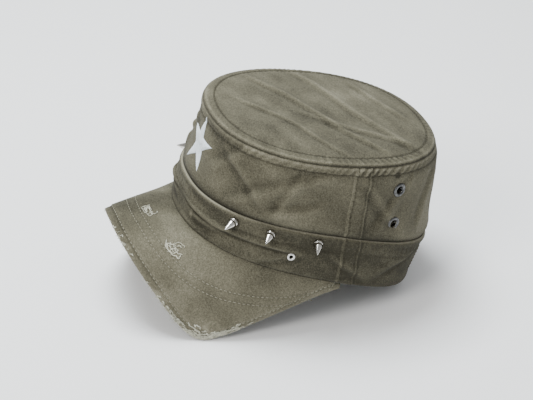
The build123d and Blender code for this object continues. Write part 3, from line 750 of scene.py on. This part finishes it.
def on_top(share, angle):
    """A point of the top panel by its share of the way out, with its tone: wear, painted highlight and
    painted shade.
    """
    x, y = oval_xy(TOP_OVAL, angle, 0.2)
    centre = np.array((0.0, TOP_OVAL[2]))
    out = np.stack([x * share, centre[1] + (y - centre[1]) * share], -1)
    inset = (1 - share) * np.hypot(x, y - centre[1])
    height = 6.2 * np.sqrt(np.clip(1 - share ** 2.6, 0, 1)) - 0.3
    flat = np.concatenate([out, np.zeros_like(out[..., :1])], -1)
    inner = smooth(inset, 4, 16)
    lift = inner * (0.9 * noise(flat, 45, 41) + 0.35 * noise(flat, 16, 42))
    # painted shade: the whole top panel darker, toning down its overhead light
    tone = 0.30 * noise(flat, 30, 43) + 0.2 * noise(flat * (1, 2, 1), 12, 44) - 0.45
    for start, end, amount, width in TOP_FOLDS:
        along, across = fold_place(out, start, end)
        across = across + 3.0 * noise(flat, 40, 45)
        fade = window(along, 0.02, 0.98, 0.16)
        lift += fade * amount * (bump(across, width) - 0.8 * bump(across + width * 1.4, width * 0.8)) * inner
        # painted highlight on each fold's ridge, painted shade in its valley
        tone += fade * 0.5 * (bump(across, width * 0.45) - 0.9 * bump(across + width * 1.2, width * 0.5))
    length = around(angle)
    rear = smooth(np.abs(length), 40, 170)
    ripple = np.sin(2 * math.pi * (length + 0.8 * inset) / 6.6 + 4.0 * noise(flat, 19, 46))
    strength = (0.08 + 0.12 * rear) * (0.6 + 0.9 * noise(flat, 28, 47))
    pucker = strength * ripple * window(inset, 1.4, TOP_ROW - 0.7, 0.9)
    lift += pucker + 0.3 * window(inset, 1.0, TOP_ROW, 0.8) - 0.42 * bump(inset - TOP_ROW, 0.8)
    after = np.exp(-np.maximum(inset - TOP_ROW, 0) / 5) * (inset > TOP_ROW)
    lift += 0.18 * np.sin(2 * math.pi * length / 6.8) * after
    # pucker ridges lighter (partly wear, partly painted highlight) and hollows darker, painted shade in the
    # stitch row's groove, a painted highlight on the rolled edge
    tone += 1.1 * pucker - 1.2 * bump(inset - TOP_ROW, 0.8) + 0.8 * bump(inset - 1.6, 1.1)
    # painted shade in the gap at the panel's edge
    tone -= 1.0 * np.exp(-inset / 0.5)
    point = np.concatenate([out, (top_plane_z(out[..., 1]) + height + lift)[..., None]], -1)
    tone -= 0.7 * stain(out, TOP_STAINS, 1.0)
    return point, tone


def make_top():
    rings, spokes = 96, 480
    share = (np.linspace(0, 1, rings + 1)[1:] ** 0.8)[:, None]
    angle = np.linspace(-180, 180, spokes, endpoint=False)[None, :]
    outer, tone = on_top(share, angle)
    hub, hub_tone = on_top(np.array(0.0), np.array(0.0))
    count = rings * spokes
    index = np.arange(count).reshape(rings, spokes)
    quads = grid_quads(index, wrap_cols=True)[:, ::-1]
    near, far = index[0], np.roll(index[0], -1)
    edge, after = index[-1], np.roll(index[-1], -1)
    rim = np.stack([edge, edge + count, after + count, after], -1)
    faces = np.concatenate([quads, quads[:, ::-1] + count, rim]).tolist()
    faces += [(2 * count, a, b) for a, b in zip(near, far)]
    faces += [(2 * count + 1, b + count, a + count) for a, b in zip(near, far)]
    outer = outer.reshape(-1, 3)
    verts = np.concatenate([outer, outer - (0, 0, CLOTH), [hub, hub - (0, 0, CLOTH)]])
    tones = np.concatenate([tone.ravel(), tone.ravel() - 0.1, [hub_tone, hub_tone]])
    piece = add_object("top_panel_cloth", verts, faces, verts[:, :2], tones)
    dress(piece, CLOTH_MATERIAL, "cap", "cloth", "top_panel")


# ---- peak ----
PEAK_ROW, PEAK_CURVED_ROWS = 6.5, (0.0, 7.5)      # from the edge; each back from the outer curved row
PEAK_TEARS = ((np.array((-1.0, -127.5, -7.0)), 7.5), (np.array((40.5, -113.5, -16.0)), 8.0))
PEAK_FRAYS = ((np.array((78.5, -80.0, -64.0)), 11.0), (np.array((29.0, -152.0, -22.0)), 7.0),
              (np.array((59.0, -123.0, -49.0)), 9.0), (np.array((68.0, -109.0, -61.0)), 7.0))


def peak_row_share(u, back_off):
    """Where a concentric stitch row lies: a rounder curve than the peak's edge."""
    reach = 39.0 * np.sqrt(np.clip(1 - (np.abs(u) / 0.97) ** 3.4, 0, 1)) - back_off
    return reach / np.maximum(peak_length(u), 1e-3)


def peak_relief(u, share):
    points = peak_xyz(u, share)
    length = peak_length(u)
    inset = (1 - share) * length
    lift = 0.35 * noise(points, 40, 51) + 0.16 * noise(points, 13, 52)
    lift *= smooth(inset, 0, 10) * smooth(share * length, 0, 8)
    lift -= 1.05 * (1 - smooth(inset, PEAK_ROW - 1.6, PEAK_ROW - 0.2))
    ripple = np.sin(points[..., 0] * 0.9 + points[..., 2] * 0.7 + 2.5 * noise(points, 14, 53))
    lift += 0.16 * ripple * window(inset, 0.8, PEAK_ROW - 1.2, 0.6) - 0.35 * bump(inset - PEAK_ROW, 0.8)
    tone = 0.3 * noise(points, 26, 54) + 0.22 * noise(points, 9, 55)
    # darker overall, and lighter towards the wearer's left, the side nearer the camera, as painted light
    tone += 0.5 * smooth(points[..., 0], 15, 65) - 0.45
    tone += 1.1 * np.exp(-inset / 1.0)
    # painted highlight on the lip inside the stitch row, painted shade where the flange steps down
    tone += 0.3 * bump(inset - PEAK_ROW - 1.4, 1.0) - 0.55 * bump(inset - PEAK_ROW + 0.6, 1.0)
    for back_off in PEAK_CURVED_ROWS:
        away = (share - peak_row_share(u, back_off)) * length
        lift -= 0.30 * bump(away, 0.8)
        # painted shade in each curved stitch row's groove
        tone -= 0.30 * bump(away, 0.9)
    # painted shade where the peak meets the band
    tone -= 0.55 * np.exp(-share * length / 3.0)
    rough = noise(points, 2.6, 56) + 0.7 * noise(points, 1.3, 57)
    worn = np.zeros_like(share * length)
    for centre, size in PEAK_TEARS + PEAK_FRAYS:
        away = np.sum((points - centre) ** 2, -1) / size ** 2
        worn = np.maximum(worn, np.exp(-away * 1.6))
    worn *= 0.55 + 0.75 * rough
    lift -= 0.55 * np.clip(worn, 0, 1)
    for centre, _ in PEAK_TEARS:
        tone -= 1.4 * np.exp(-np.sum((points - centre) ** 2, -1) / 1.6 ** 2)
    tone += 1.8 * np.clip(worn, 0, 1.1) * (0.6 + 0.7 * np.sin(points @ np.array((3.1, 2.2, 4.0))))
    return lift, tone, points


def on_peak(u, share):
    lift, tone, points = peak_relief(u, share)
    step = 0.004
    along = peak_xyz(np.clip(u + step, -1, 1), share) - peak_xyz(np.clip(u - step, -1, 1), share)
    out = peak_xyz(u, np.clip(share + 0.01, 0, 1)) - peak_xyz(u, np.clip(share - 0.01, 0, 1))
    normal = unit(np.cross(out, along))
    return points + normal * lift[..., None], normal, tone


def make_peak():
    u = np.linspace(-1, 1, 420)[None, :]
    share = np.linspace(0, 1, 92)[:, None]
    share = share + 0.06 * np.sin(math.pi * share) * share
    u, share = np.broadcast_arrays(u, share)
    top, normal, tone = on_peak(u, share)
    inset = ((1 - share) * peak_length(u))[..., None]
    flange = smooth(inset, PEAK_ROW - 1.6, PEAK_ROW - 0.2)
    base = peak_xyz(u, share)
    uv = np.stack([u * 150, share * 75], -1)
    lower = base - normal * (0.9 * flange + 1.87 * (1 - flange))
    cover = turned_shell("visor_top_cover_cloth", top, lower, uv, tone)
    dress(cover, CLOTH_MATERIAL, "cap", "cloth", "visor_top_cover")
    reach = np.linspace(0.03, 1.0, 40)[:, None]
    u_board, _ = np.broadcast_arrays(np.linspace(-0.93, 0.93, 200)[None, :], reach)
    length = peak_length(u_board)
    share_board = reach * np.maximum(1 - (PEAK_ROW + 1.5) / length, 0.1)
    core = peak_xyz(u_board, share_board)
    up = on_peak(u_board, share_board)[1]
    board = turned_shell("visor_board_sheet", core - up * 1.35, core - up * 2.75, core[..., :2], 0 * length)
    dress(board, BOARD_MATERIAL, "cap", "board", "visor_board")
    under_lift = 0.2 * noise(base, 30, 58)[..., None] + 0.95 * (1 - flange)
    under = base - normal * (PEAK_DEPTH - under_lift)
    upper = base - normal * (3.0 * flange + 1.95 * (1 - flange))
    cover = turned_shell("visor_under_cover_cloth", upper, under, uv, 0.5 * tone)
    dress(cover, CLOTH_MATERIAL, "cap", "cloth", "visor_under_cover")


# ---- stitches: short thread capsules lying on the cloth ----
THICK_STITCH = {"length": 2.1, "radius": 0.42}
FINE_STITCH = {"pitch": 2.9, "length": 2.1, "radius": 0.2}


def stitch_points(points, normals, pitch=3.7, length=2.5, radius=0.36):
    points, normals = np.asarray(points, float), unit(np.asarray(normals, float))
    travel = np.concatenate([[0], np.cumsum(np.linalg.norm(np.diff(points, axis=0), axis=1))])
    count = max(int(travel[-1] / pitch), 1)
    centres = (np.arange(count) + 0.5) * travel[-1] / count

    def at(distance, source):
        return np.stack([np.interp(distance, travel, source[:, k]) for k in range(3)], -1)

    middle = at(centres, points)
    run = unit(at(centres + length / 2, points) - at(centres - length / 2, points))
    normal = unit(at(centres, normals))
    side = unit(np.cross(normal, run))
    normal = np.cross(run, side)
    # a stitch from end to end: share of its length, girth, rise above the cloth
    stations = ((-0.5, 0.0, -0.30), (-0.38, 0.85, -0.02), (0.0, 1.0, 0.10), (0.38, 0.85, -0.02),
                (0.5, 0.0, -0.30))
    ring = 6
    verts, faces = [], []
    for share, girth, rise in stations:
        for k in range(ring if girth else 1):
            turn = 2 * math.pi * k / ring
            verts.append(middle + run * share * length + side * (girth * radius * math.cos(turn))
                         + normal * (girth * radius * math.sin(turn) + rise + 0.06))
    verts = np.stack(verts, 1)
    total = verts.shape[1]
    for k in range(ring):
        after = (k + 1) % ring
        faces.append((0, 1 + after, 1 + k, 1 + k))
        for band in range(2):
            low, high = 1 + band * ring, 1 + (band + 1) * ring
            faces.append((low + k, low + after, high + after, high + k))
        faces.append((1 + 2 * ring + k, 1 + 2 * ring + after, total - 1, total - 1))
    faces = (np.array(faces)[None] + (np.arange(count) * total)[:, None, None]).reshape(-1, 4)
    return verts.reshape(-1, 3), faces


def stitch_object(name, rows, body="cap", slot="cloth", material=THREAD_MATERIAL, **sizes):
    verts, faces, start = [], [], 0
    for points, normals in rows:
        v, f = stitch_points(points, normals, **sizes)
        verts.append(v)
        # the capsules' end faces are triangles, written with one corner twice
        faces += [tuple(dict.fromkeys(face)) for face in (f + start).tolist()]
        start += len(v)
    return dress(add_object(name, np.concatenate(verts), faces), material, body, slot)


def make_stitches():
    full = np.linspace(-180, 180, 1400)

    def ring_row(z, crown):
        return on_wall(full, z, crown), wall_normal(full, z, crown)

    def seam_row(side, row, crown):
        """A row beside a side seam, over the height of the crown or the band."""
        z = np.linspace(*((36.0, 92.0) if crown else (0.0, 33.0)), 80)
        angle = side * angle_at(around(seam_angle(z)) + row)
        low, high = (fold_z(angle) + 1, top_z(angle) - 2) if crown else (rim_z(angle) + 1, fold_z(angle) - 1)
        z = low + (high - low) * np.linspace(0, 1, 80)
        angle = side * angle_at(around(seam_angle(z)) + row)
        return on_wall(angle, z, crown), wall_normal(angle, z, crown)

    def back_row(side, row):
        z = np.linspace(28, 104, 80)
        angle = np.full_like(z, side * angle_at(around(180.0) - row))
        return on_wall(angle, z, True), wall_normal(angle, z, True)

    x, y = oval_xy(TOP_OVAL, full, 0.2)
    share = 1 - TOP_ROW / np.hypot(x, y - TOP_OVAL[2])
    top_row = (on_top(share, full)[0], np.tile((0, 0.0, 1.0), (len(full), 1)))
    stitch_object("top_panel_stitches", [top_row], **THICK_STITCH)
    stitch_object("crown_seam_stitches", [ring_row(top_z(full) - CROWN_ROW, True)], **THICK_STITCH)
    stitch_object("band_stitches", [ring_row(fold_z(full) - row, False) for row in BAND_ROWS])
    rows = [seam_row(side, row, crown) for side in (1, -1) for row in SEAM_ROWS for crown in (True, False)]
    rows += [back_row(side, row) for row in BACK_ROWS for side in (1, -1)]
    stitch_object("seam_stitches", rows, **THICK_STITCH)
    u = np.linspace(-0.985, 0.985, 900)
    shares = [(1 - PEAK_ROW / peak_length(u), 0.1)]
    shares += [(peak_row_share(u, back_off), 0.03) for back_off in PEAK_CURVED_ROWS]
    rows = [on_peak(u[share > least], share[share > least])[:2] for share, least in shares]
    stitch_object("visor_stitches", rows, material=PALE_THREAD_MATERIAL)


# ---- loose threads on the worn places of the peak ----
def make_frays():
    rng = np.random.default_rng(77)
    verts, faces = [], []

    def tube(rings):
        """Add a closed tube through rings of points."""
        steps, sides = rings.shape[:2]
        index = len(verts) + np.arange(steps * sides).reshape(steps, sides)
        verts.extend(rings.reshape(-1, 3))
        faces.extend(grid_quads(index, wrap_cols=True).tolist())
        faces.extend([index[0, ::-1].tolist(), index[-1].tolist()])

    def hair(start, direction, length, radius):
        """A thread that sticks out and thins towards its end."""
        bend = rng.normal(size=3) * 0.55
        side = unit(np.cross(direction, rng.normal(size=3)))
        other = np.cross(direction, side)
        t = np.linspace(0, 1, 5)[:, None, None]
        turn = (2 * math.pi * np.arange(3) / 3)[None, :, None]
        centre = start + direction * length * t + bend * length * t * t * 0.6
        tube(centre + (side * np.cos(turn) + other * np.sin(turn)) * radius * (1 - 0.6 * t))

    def loop(u, share, wide, tall, start, sweep, radius):
        """A thread that lies in a rough loop on the peak."""
        steps = 18
        t = start + sweep * np.linspace(0, 1, steps)
        jitter = rng.normal(size=(2, steps)) * 0.3 + np.cumsum(rng.normal(size=(2, steps)), axis=1) * 0.22
        along, out = wide * np.cos(t) + jitter[0], tall * np.sin(t) + jitter[1]
        us = np.clip(u + along / 165.0, -0.97, 0.97)
        shares = np.clip(share + out / peak_length(np.array(u)), 0.02, 0.995)
        points, normals, _ = on_peak(us, shares)
        points = points + normals * (0.25 + 0.35 * rng.random())
        side = unit(np.cross(normals, unit(np.gradient(points, axis=0))))
        turn = (math.pi / 2 * np.arange(4))[None, :, None]
        tube(points[:, None] + (side[:, None] * np.cos(turn) + normals[:, None] * np.sin(turn)) * radius)

    edge_u = np.linspace(-0.9, 0.9, 1500)
    edge_points = peak_xyz(edge_u, 1.0)
    for centre, size in PEAK_FRAYS:
        near = np.exp(-np.sum((edge_points - centre) ** 2, -1) / (1.6 * size) ** 2)
        for pick in rng.choice(len(edge_u), 70, p=near / near.sum()):
            u = edge_u[pick]
            point, normal, _ = on_peak(np.array(u), np.array(1 - rng.uniform(0, 0.03)))
            out = unit(peak_xyz(u, 1.0) - peak_xyz(u, 0.95))
            pull, rise = rng.uniform(0.1, 1.0), rng.uniform(-0.5, 0.4)
            direction = unit(out * pull + normal * rise + rng.normal(size=3) * 0.5)
            hair(point - normal * 0.3, direction, rng.uniform(0.8, 3.2), rng.uniform(0.14, 0.28))
        # the torn corner has many long loops, the other frayed places have a few short ones
        torn = centre is PEAK_FRAYS[0][0]
        for pick in rng.choice(len(edge_u), 85 if torn else 6, p=near / near.sum()):
            u = edge_u[pick]
            share = 1 - (0.6 + abs(rng.normal()) * (3.0 if torn else 0.8)) / peak_length(np.array(u))
            loop(u, share, rng.uniform(0.6, 2.8 if torn else 1.4), rng.uniform(0.3, 1.3),
                 rng.uniform(0, 6.3), rng.uniform(1.5, 5.0), rng.uniform(0.24, 0.44))
    # short hairs all along the edge
    for pick in rng.choice(len(edge_u), 170):
        u = edge_u[pick]
        point, normal, _ = on_peak(np.array(u), np.array(0.998))
        out = unit(peak_xyz(u, 1.0) - peak_xyz(u, 0.95))
        direction = unit(out + normal * rng.uniform(-0.3, 0.3) + rng.normal(size=3) * 0.4)
        hair(point - normal * 0.4, direction, rng.uniform(0.4, 1.3), rng.uniform(0.14, 0.26))
    spots_u, spots_s = np.meshgrid(np.linspace(-0.95, 0.95, 300), np.linspace(0.05, 0.97, 60))
    spots = peak_xyz(spots_u, spots_s)
    for centre, size in PEAK_TEARS:
        home = np.argmin(np.sum((spots - centre) ** 2, -1))
        u, share = spots_u.ravel()[home], spots_s.ravel()[home]
        for _ in range(11):
            grow = rng.uniform(0.2, 0.9)
            loop(u + rng.normal() * 0.012, share + rng.normal() * 0.03, size * grow, 0.55 * size * grow,
                 rng.uniform(0, 6.3), rng.uniform(1.2, 4.0), rng.uniform(0.2, 0.4))
    item = add_object("visor_frayed_threads", np.array(verts), faces)
    for vertex in item.data.vertices:
        vertex.co.z = max(vertex.co.z, FLOOR_GAP)
    dress(item, FRAY_MATERIAL, "cap", "cloth")


# ---- star ----
def make_star():
    spokes, rings = 400, 34
    turn = np.linspace(0, 2 * math.pi, spokes, endpoint=False)
    sector = (turn - math.pi / 2) % (2 * math.pi / 5)
    half = math.pi / 5
    away = np.minimum(sector, 2 * half - sector)
    tip = np.array((STAR_RADIUS, 0.0))
    notch = STAR_RADIUS * STAR_INNER_RATIO * np.array((math.cos(half), math.sin(half)))
    edge = notch - tip
    outline = (tip[0] * edge[1] - tip[1] * edge[0]) / (np.cos(away) * edge[1] - np.sin(away) * edge[0])
    # the middle stays open by a pin-prick, with walls like every edge
    share = np.linspace(1, 0.02, rings)[:, None]
    radius = outline[None, :] * share
    x = radius * np.cos(turn)
    z = STAR_HEIGHT + radius * np.sin(turn)
    ribs = np.sin(radius * np.cos(away)[None, :] * 2 * math.pi / 0.85)
    lift = 0.95 * (1 - share ** 6) + 0.10 * ribs * (1 - share ** 8) + 0.25 * (1 - share)
    angle = angle_at_x(x, z)
    normal = wall_normal(angle, z, True)
    base = on_wall(angle, z, True)
    outer = base + normal * (lift + 0.05)[..., None]
    # the tone paints highlight on the satin ribs' crests and shade between them
    item = shell("front_star_embroidery", outer, base - normal * 0.25, np.stack([x, z], -1),
                 0.6 * ribs - 0.1, closed=True)
    dress(item, STAR_MATERIAL, "cap", "embroidery", "front_star")


def angle_at_x(x, z, rear=False):
    """The angle of a wall point by its x and height, at the front or at the back."""
    grid = np.linspace(-60, 60, 481) + (180.0 if rear else 0.0)
    order = slice(None, None, -1 if rear else 1)
    low, high = [np.interp(x, oval_xy(oval, grid)[0][order], grid[order]) for oval in (FOLD_OVAL, TOP_OVAL)]
    return low + (high - low) * np.clip((np.asarray(z) - FOLD_LEVEL) / 62.0, 0, 1)


# ---- metal trim ----
def plane_on_wall(angle, z, side, lean_forward=0.0, lean_down=0.0, crown=False):
    angle = np.array(side * angle)
    z = np.array(float(z))
    origin = wall_xyz(angle, z, 0, crown)
    normal = unit(wall_normal(angle, z, crown) + np.array((0, -lean_forward, -lean_down)))
    across = unit(np.cross(normal, (0, 0, 1)))
    return origin, normal, across, np.cross(normal, across)


def lathe(profile, planes, sides=40):
    """Turn (radius, height) points round each plane's normal; the profile closes on itself."""
    radius, height = np.array(profile).T[:, :, None, None]
    turn = (2 * math.pi * np.arange(sides) / sides)[None, :, None]
    verts, faces = [], []
    for origin, normal, across, up in planes:
        index = sides * len(profile) * len(verts) + np.arange(sides * len(profile)).reshape(-1, sides)
        verts.append(origin + normal * height + (across * np.cos(turn) + up * np.sin(turn)) * radius)
        faces.append(grid_quads(index, wrap_rows=True, wrap_cols=True))
    return np.array(verts), np.concatenate(faces)


# outlines of the trim: (radius, height over the cloth)
SPIKE_OUTLINE = ((0.02, -2.4), (3.9, -2.4), (4.0, 0.4), (4.0, 1.3), (3.85, 1.9), (3.45, 2.4), (3.3, 2.7),
                 (3.75, 3.1), (3.2, 4.8), (2.35, 7.4), (1.5, 9.8), (0.8, 11.6), (0.4, 12.5), (0.15, 12.95),
                 (0.02, 13.0))
VENT_OUTLINE = ((2.9, -1.5), (3.3, -1.5), (3.6, 0.0), (5.6, -0.35), (5.9, 0.2), (5.6, 0.75), (4.6, 1.1),
                (3.8, 1.0), (3.2, 0.6), (2.95, 0.0))
RING_TURNS = 2 * math.pi * np.arange(14) / 14
EYELET_OUTLINE = np.stack([2.325 + 0.875 * np.cos(RING_TURNS), 0.3 + 0.6 * np.sin(RING_TURNS)], -1)
CAD_METAL = {"spike_screws_left": SPIKE_MATERIAL, "spike_screws_right": SPIKE_MATERIAL,
             "band_eyelet_washer": SILVER_MATERIAL, "vent_washers_left": GUNMETAL_MATERIAL,
             "vent_washers_right": GUNMETAL_MATERIAL, "clasp_frame": GUNMETAL_MATERIAL,
             "clasp_lever": GUNMETAL_MATERIAL, "clasp_pin": SILVER_MATERIAL}


def make_trim():
    for name, side in (("left", 1), ("right", -1)):
        planes = [plane_on_wall(a, z, side, SPIKE_LEAN_FORWARD, SPIKE_LEAN_DOWN) for a, z in SPIKES]
        item = add_object(f"spikes_{name}_polished", *lathe(SPIKE_OUTLINE, planes))
        dress(item, SPIKE_MATERIAL, "cap", "spike_metal", "spikes_" + name)
        planes = [plane_on_wall(a, z, side, crown=True) for a, z in VENTS]
        item = add_object(f"vent_eyelets_{name}_rings", *lathe(VENT_OUTLINE, planes))
        dress(item, GUNMETAL_MATERIAL, "cap", "dark_metal", "vent_eyelets_" + name)
    item = add_object("band_eyelet_ring", *lathe(EYELET_OUTLINE, [plane_on_wall(*BAND_EYELET, 1)], 32))
    dress(item, SILVER_MATERIAL, "cap", "spike_metal", "band_eyelet")
    # the metal that stays as the CAD made it
    for node, material in CAD_METAL.items():
        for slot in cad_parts[node].material_slots:
            slot.material = material


# ---- back closure ----
def strap_xyz(angle, radius, z):
    turn = np.radians(angle)
    return np.stack([radius * np.sin(turn), STRAP_CENTRE_Y + radius * np.cos(turn), z + 0 * turn], -1)


def strap_piece(name, start, end, low, high, depth_out, depth_in):
    """A strip on the strap's round path. The depths are functions of angle, outwards from its middle."""
    angle = np.linspace(start, end, int(abs(end - start) * 1.6) + 2)[None, :]
    z = np.linspace(low, high, 26)[:, None]
    angle, z = np.broadcast_arrays(angle, z)
    edge = np.minimum(z - low, high - z)
    round_off = 0.35 * np.exp(-edge / 0.5)
    rows = bump(edge - 2.2, 0.6)
    outer = strap_xyz(angle, STRAP_RADIUS + depth_out(angle) - round_off - 0.12 * rows, z)
    inner = strap_xyz(angle, STRAP_RADIUS + depth_in(angle) + round_off, z)
    uv = np.stack([angle * 1.47, z], -1)
    # lighter along the edges; painted shade in the stitch rows' grooves
    tone = 0.6 * np.exp(-edge / 0.8) - 0.35 * rows + 0.25 * noise(outer, 9, 61)
    return turned_shell(name, outer, inner, uv, tone)


def make_strap():
    strap = strap_piece("back_strap_cloth", *STRAP_SPAN, *STRAP_HEIGHTS,
                        lambda a: STRAP_HALF_THICK + 0 * a, lambda a: -STRAP_HALF_THICK + 0 * a)
    dress(strap, CLOTH_MATERIAL, "strap", "cloth", "back_strap")
    angle = np.linspace(STRAP_SPAN[0] + 0.5, STRAP_SPAN[1] - 0.5, 200)
    outwards = strap_xyz(angle, 1.0, 0) - (0, STRAP_CENTRE_Y, 0)
    rows = [(strap_xyz(angle, STRAP_RADIUS + 0.36, z), outwards) for z in (-6.8, 8.8)]
    stitch_object("back_strap_stitches", rows, body="strap", **FINE_STITCH)

    def swell(angle):
        """The tab's loop round the clasp's bar."""
        return 0.75 * bump(angle - TAB_LOOP, 0.9)

    tab = strap_piece("clasp_tab_cloth", *TAB_SPAN, *TAB_HEIGHTS,
                      lambda a: 3.3 + swell(a), lambda a: 2.1 - swell(a))
    dress(tab, CLOTH_MATERIAL, "cap", "cloth", "clasp_tab")


def make_arch_binding():
    """A bound edge along two upright ends and the arch between them, with a row of stitches."""
    sweep = math.asin(BINDING_HALF / BINDING_RADIUS)
    turns = np.linspace(sweep, -sweep, 70)[1:-1]
    ends = np.linspace(BINDING_FOOT, BINDING_SHOULDER, 26)
    path = np.concatenate([
        np.stack([0 * ends + BINDING_HALF, ends], -1),
        np.stack([BINDING_RADIUS * np.sin(turns), BINDING_CENTRE_Z + BINDING_RADIUS * np.cos(turns)], -1),
        np.stack([0 * ends - BINDING_HALF, ends[::-1]], -1)])
    angle = angle_at_x(path[:, 0], path[:, 1], rear=True)
    centre = wall_xyz(angle, path[:, 1], 0.65, False)
    normal = wall_normal(angle, path[:, 1], False)
    side = np.cross(normal, unit(np.gradient(centre, axis=0)))
    turn = np.linspace(0, 2 * math.pi, 22, endpoint=False)[:, None]
    # a rounded, flat cross-section
    wide = 1.65 * np.sign(np.cos(turn)) * np.abs(np.cos(turn)) ** 0.6
    thick = 1.2 * np.sign(np.sin(turn)) * np.abs(np.sin(turn)) ** 0.6
    ripple = 1 + 0.04 * np.sin(np.arange(len(path)) * 1.9)[None, :]
    tube = centre + side * (wide * ripple)[..., None] + normal * (thick * ripple)[..., None]
    index = np.arange(tube[..., 0].size).reshape(tube.shape[:2])
    faces = grid_quads(index, wrap_rows=True).tolist() + [index[::-1, 0].tolist(), index[:, -1].tolist()]
    uv = np.stack(np.broadcast_arrays(np.arange(len(path))[None, :] * 1.2, turn * 1.2), -1)
    item = add_object("back_arch_binding_cloth", tube, faces, uv,
                      0.3 * np.abs(np.cos(turn)) + np.zeros(tube.shape[:2]))
    dress(item, BINDING_MATERIAL, "cap", "tape_outer", "back_arch_binding")
    row = centre + normal * 1.15 + side * 0.5
    stitch_object("back_arch_stitches", [(row, normal)], **FINE_STITCH)


# ---- floor, light and camera ----
CAMERA_AZIMUTH, CAMERA_ELEVATION, CAMERA_ROLL = 70.45, 31.36, 2.76
CAMERA_TARGET = Vector((0.0176, -0.0081, 0.0833))
CAMERA_DISTANCE, CAMERA_LENS = 1.566, 132.0


# name, place in metres, size in metres, watts, tint
LAMPS = (("overhead", (-0.35, -0.2, 1.5), 0.7, 40.0, (0.92, 0.975, 1.0)),
         ("window", (0.9, -1.3, 1.4), 0.7, 23.0, (1.0, 0.985, 0.95)))
LAMP_TARGET, FLOOR_HALF, SKY_STRENGTH = Vector((0, 0, 0.08)), 3.0, 0.68


def make_stage():
    n = Nodes("studio_floor")
    place = n.add("ShaderNodeTexCoord").outputs["Object"]
    n.base_colour(n.noise(place, 3.0), (0.0, (0.93, 0.93, 0.93, 1)), (1.0, (0.96, 0.96, 0.96, 1)))
    n.surface(Roughness=0.8, Specular_IOR_Level=0.1)
    mesh = bpy.data.meshes.new("studio_floor")
    corners = [(x * FLOOR_HALF, y * FLOOR_HALF, 0) for x, y in ((-1, -1), (1, -1), (1, 1), (-1, 1))]
    mesh.from_pydata(corners, [], [(0, 1, 2, 3)])
    mesh.materials.append(n.material)
    link_object("studio_floor", mesh)

    world = bpy.data.worlds.new("studio")
    bpy.context.scene.world = world
    world.use_nodes = True
    sky = world.node_tree.nodes["Background"].inputs
    sky["Color"].default_value = (0.97, 0.985, 1.0, 1)
    sky["Strength"].default_value = SKY_STRENGTH
    for name, spot, size, power, tint in LAMPS:
        light = bpy.data.lights.new(name, "AREA")
        light.size, light.energy, light.color = size, power, tint
        lamp = link_object(name, light)
        lamp.location = spot
        lamp.rotation_euler = (LAMP_TARGET - Vector(spot)).to_track_quat("-Z", "Y").to_euler()


def make_camera():
    turn, rise = math.radians(CAMERA_AZIMUTH), math.radians(CAMERA_ELEVATION)
    back = Vector((math.sin(turn) * math.cos(rise), -math.cos(turn) * math.cos(rise), math.sin(rise)))
    camera = link_object("camera", bpy.data.cameras.new("camera"))
    camera.data.lens = CAMERA_LENS
    camera.data.sensor_width = 36.0
    camera.data.clip_end = 20.0
    camera.location = CAMERA_TARGET + back * CAMERA_DISTANCE
    camera.rotation_euler = (-back).to_track_quat("-Z", "Y").to_euler()
    camera.rotation_euler.rotate_axis("Z", math.radians(CAMERA_ROLL))
    bpy.context.scene.camera = camera


make_walls()
make_linings()
make_top()
make_peak()
make_stitches()
make_frays()
make_star()
make_trim()
make_strap()
make_arch_binding()
make_stage()
make_camera()
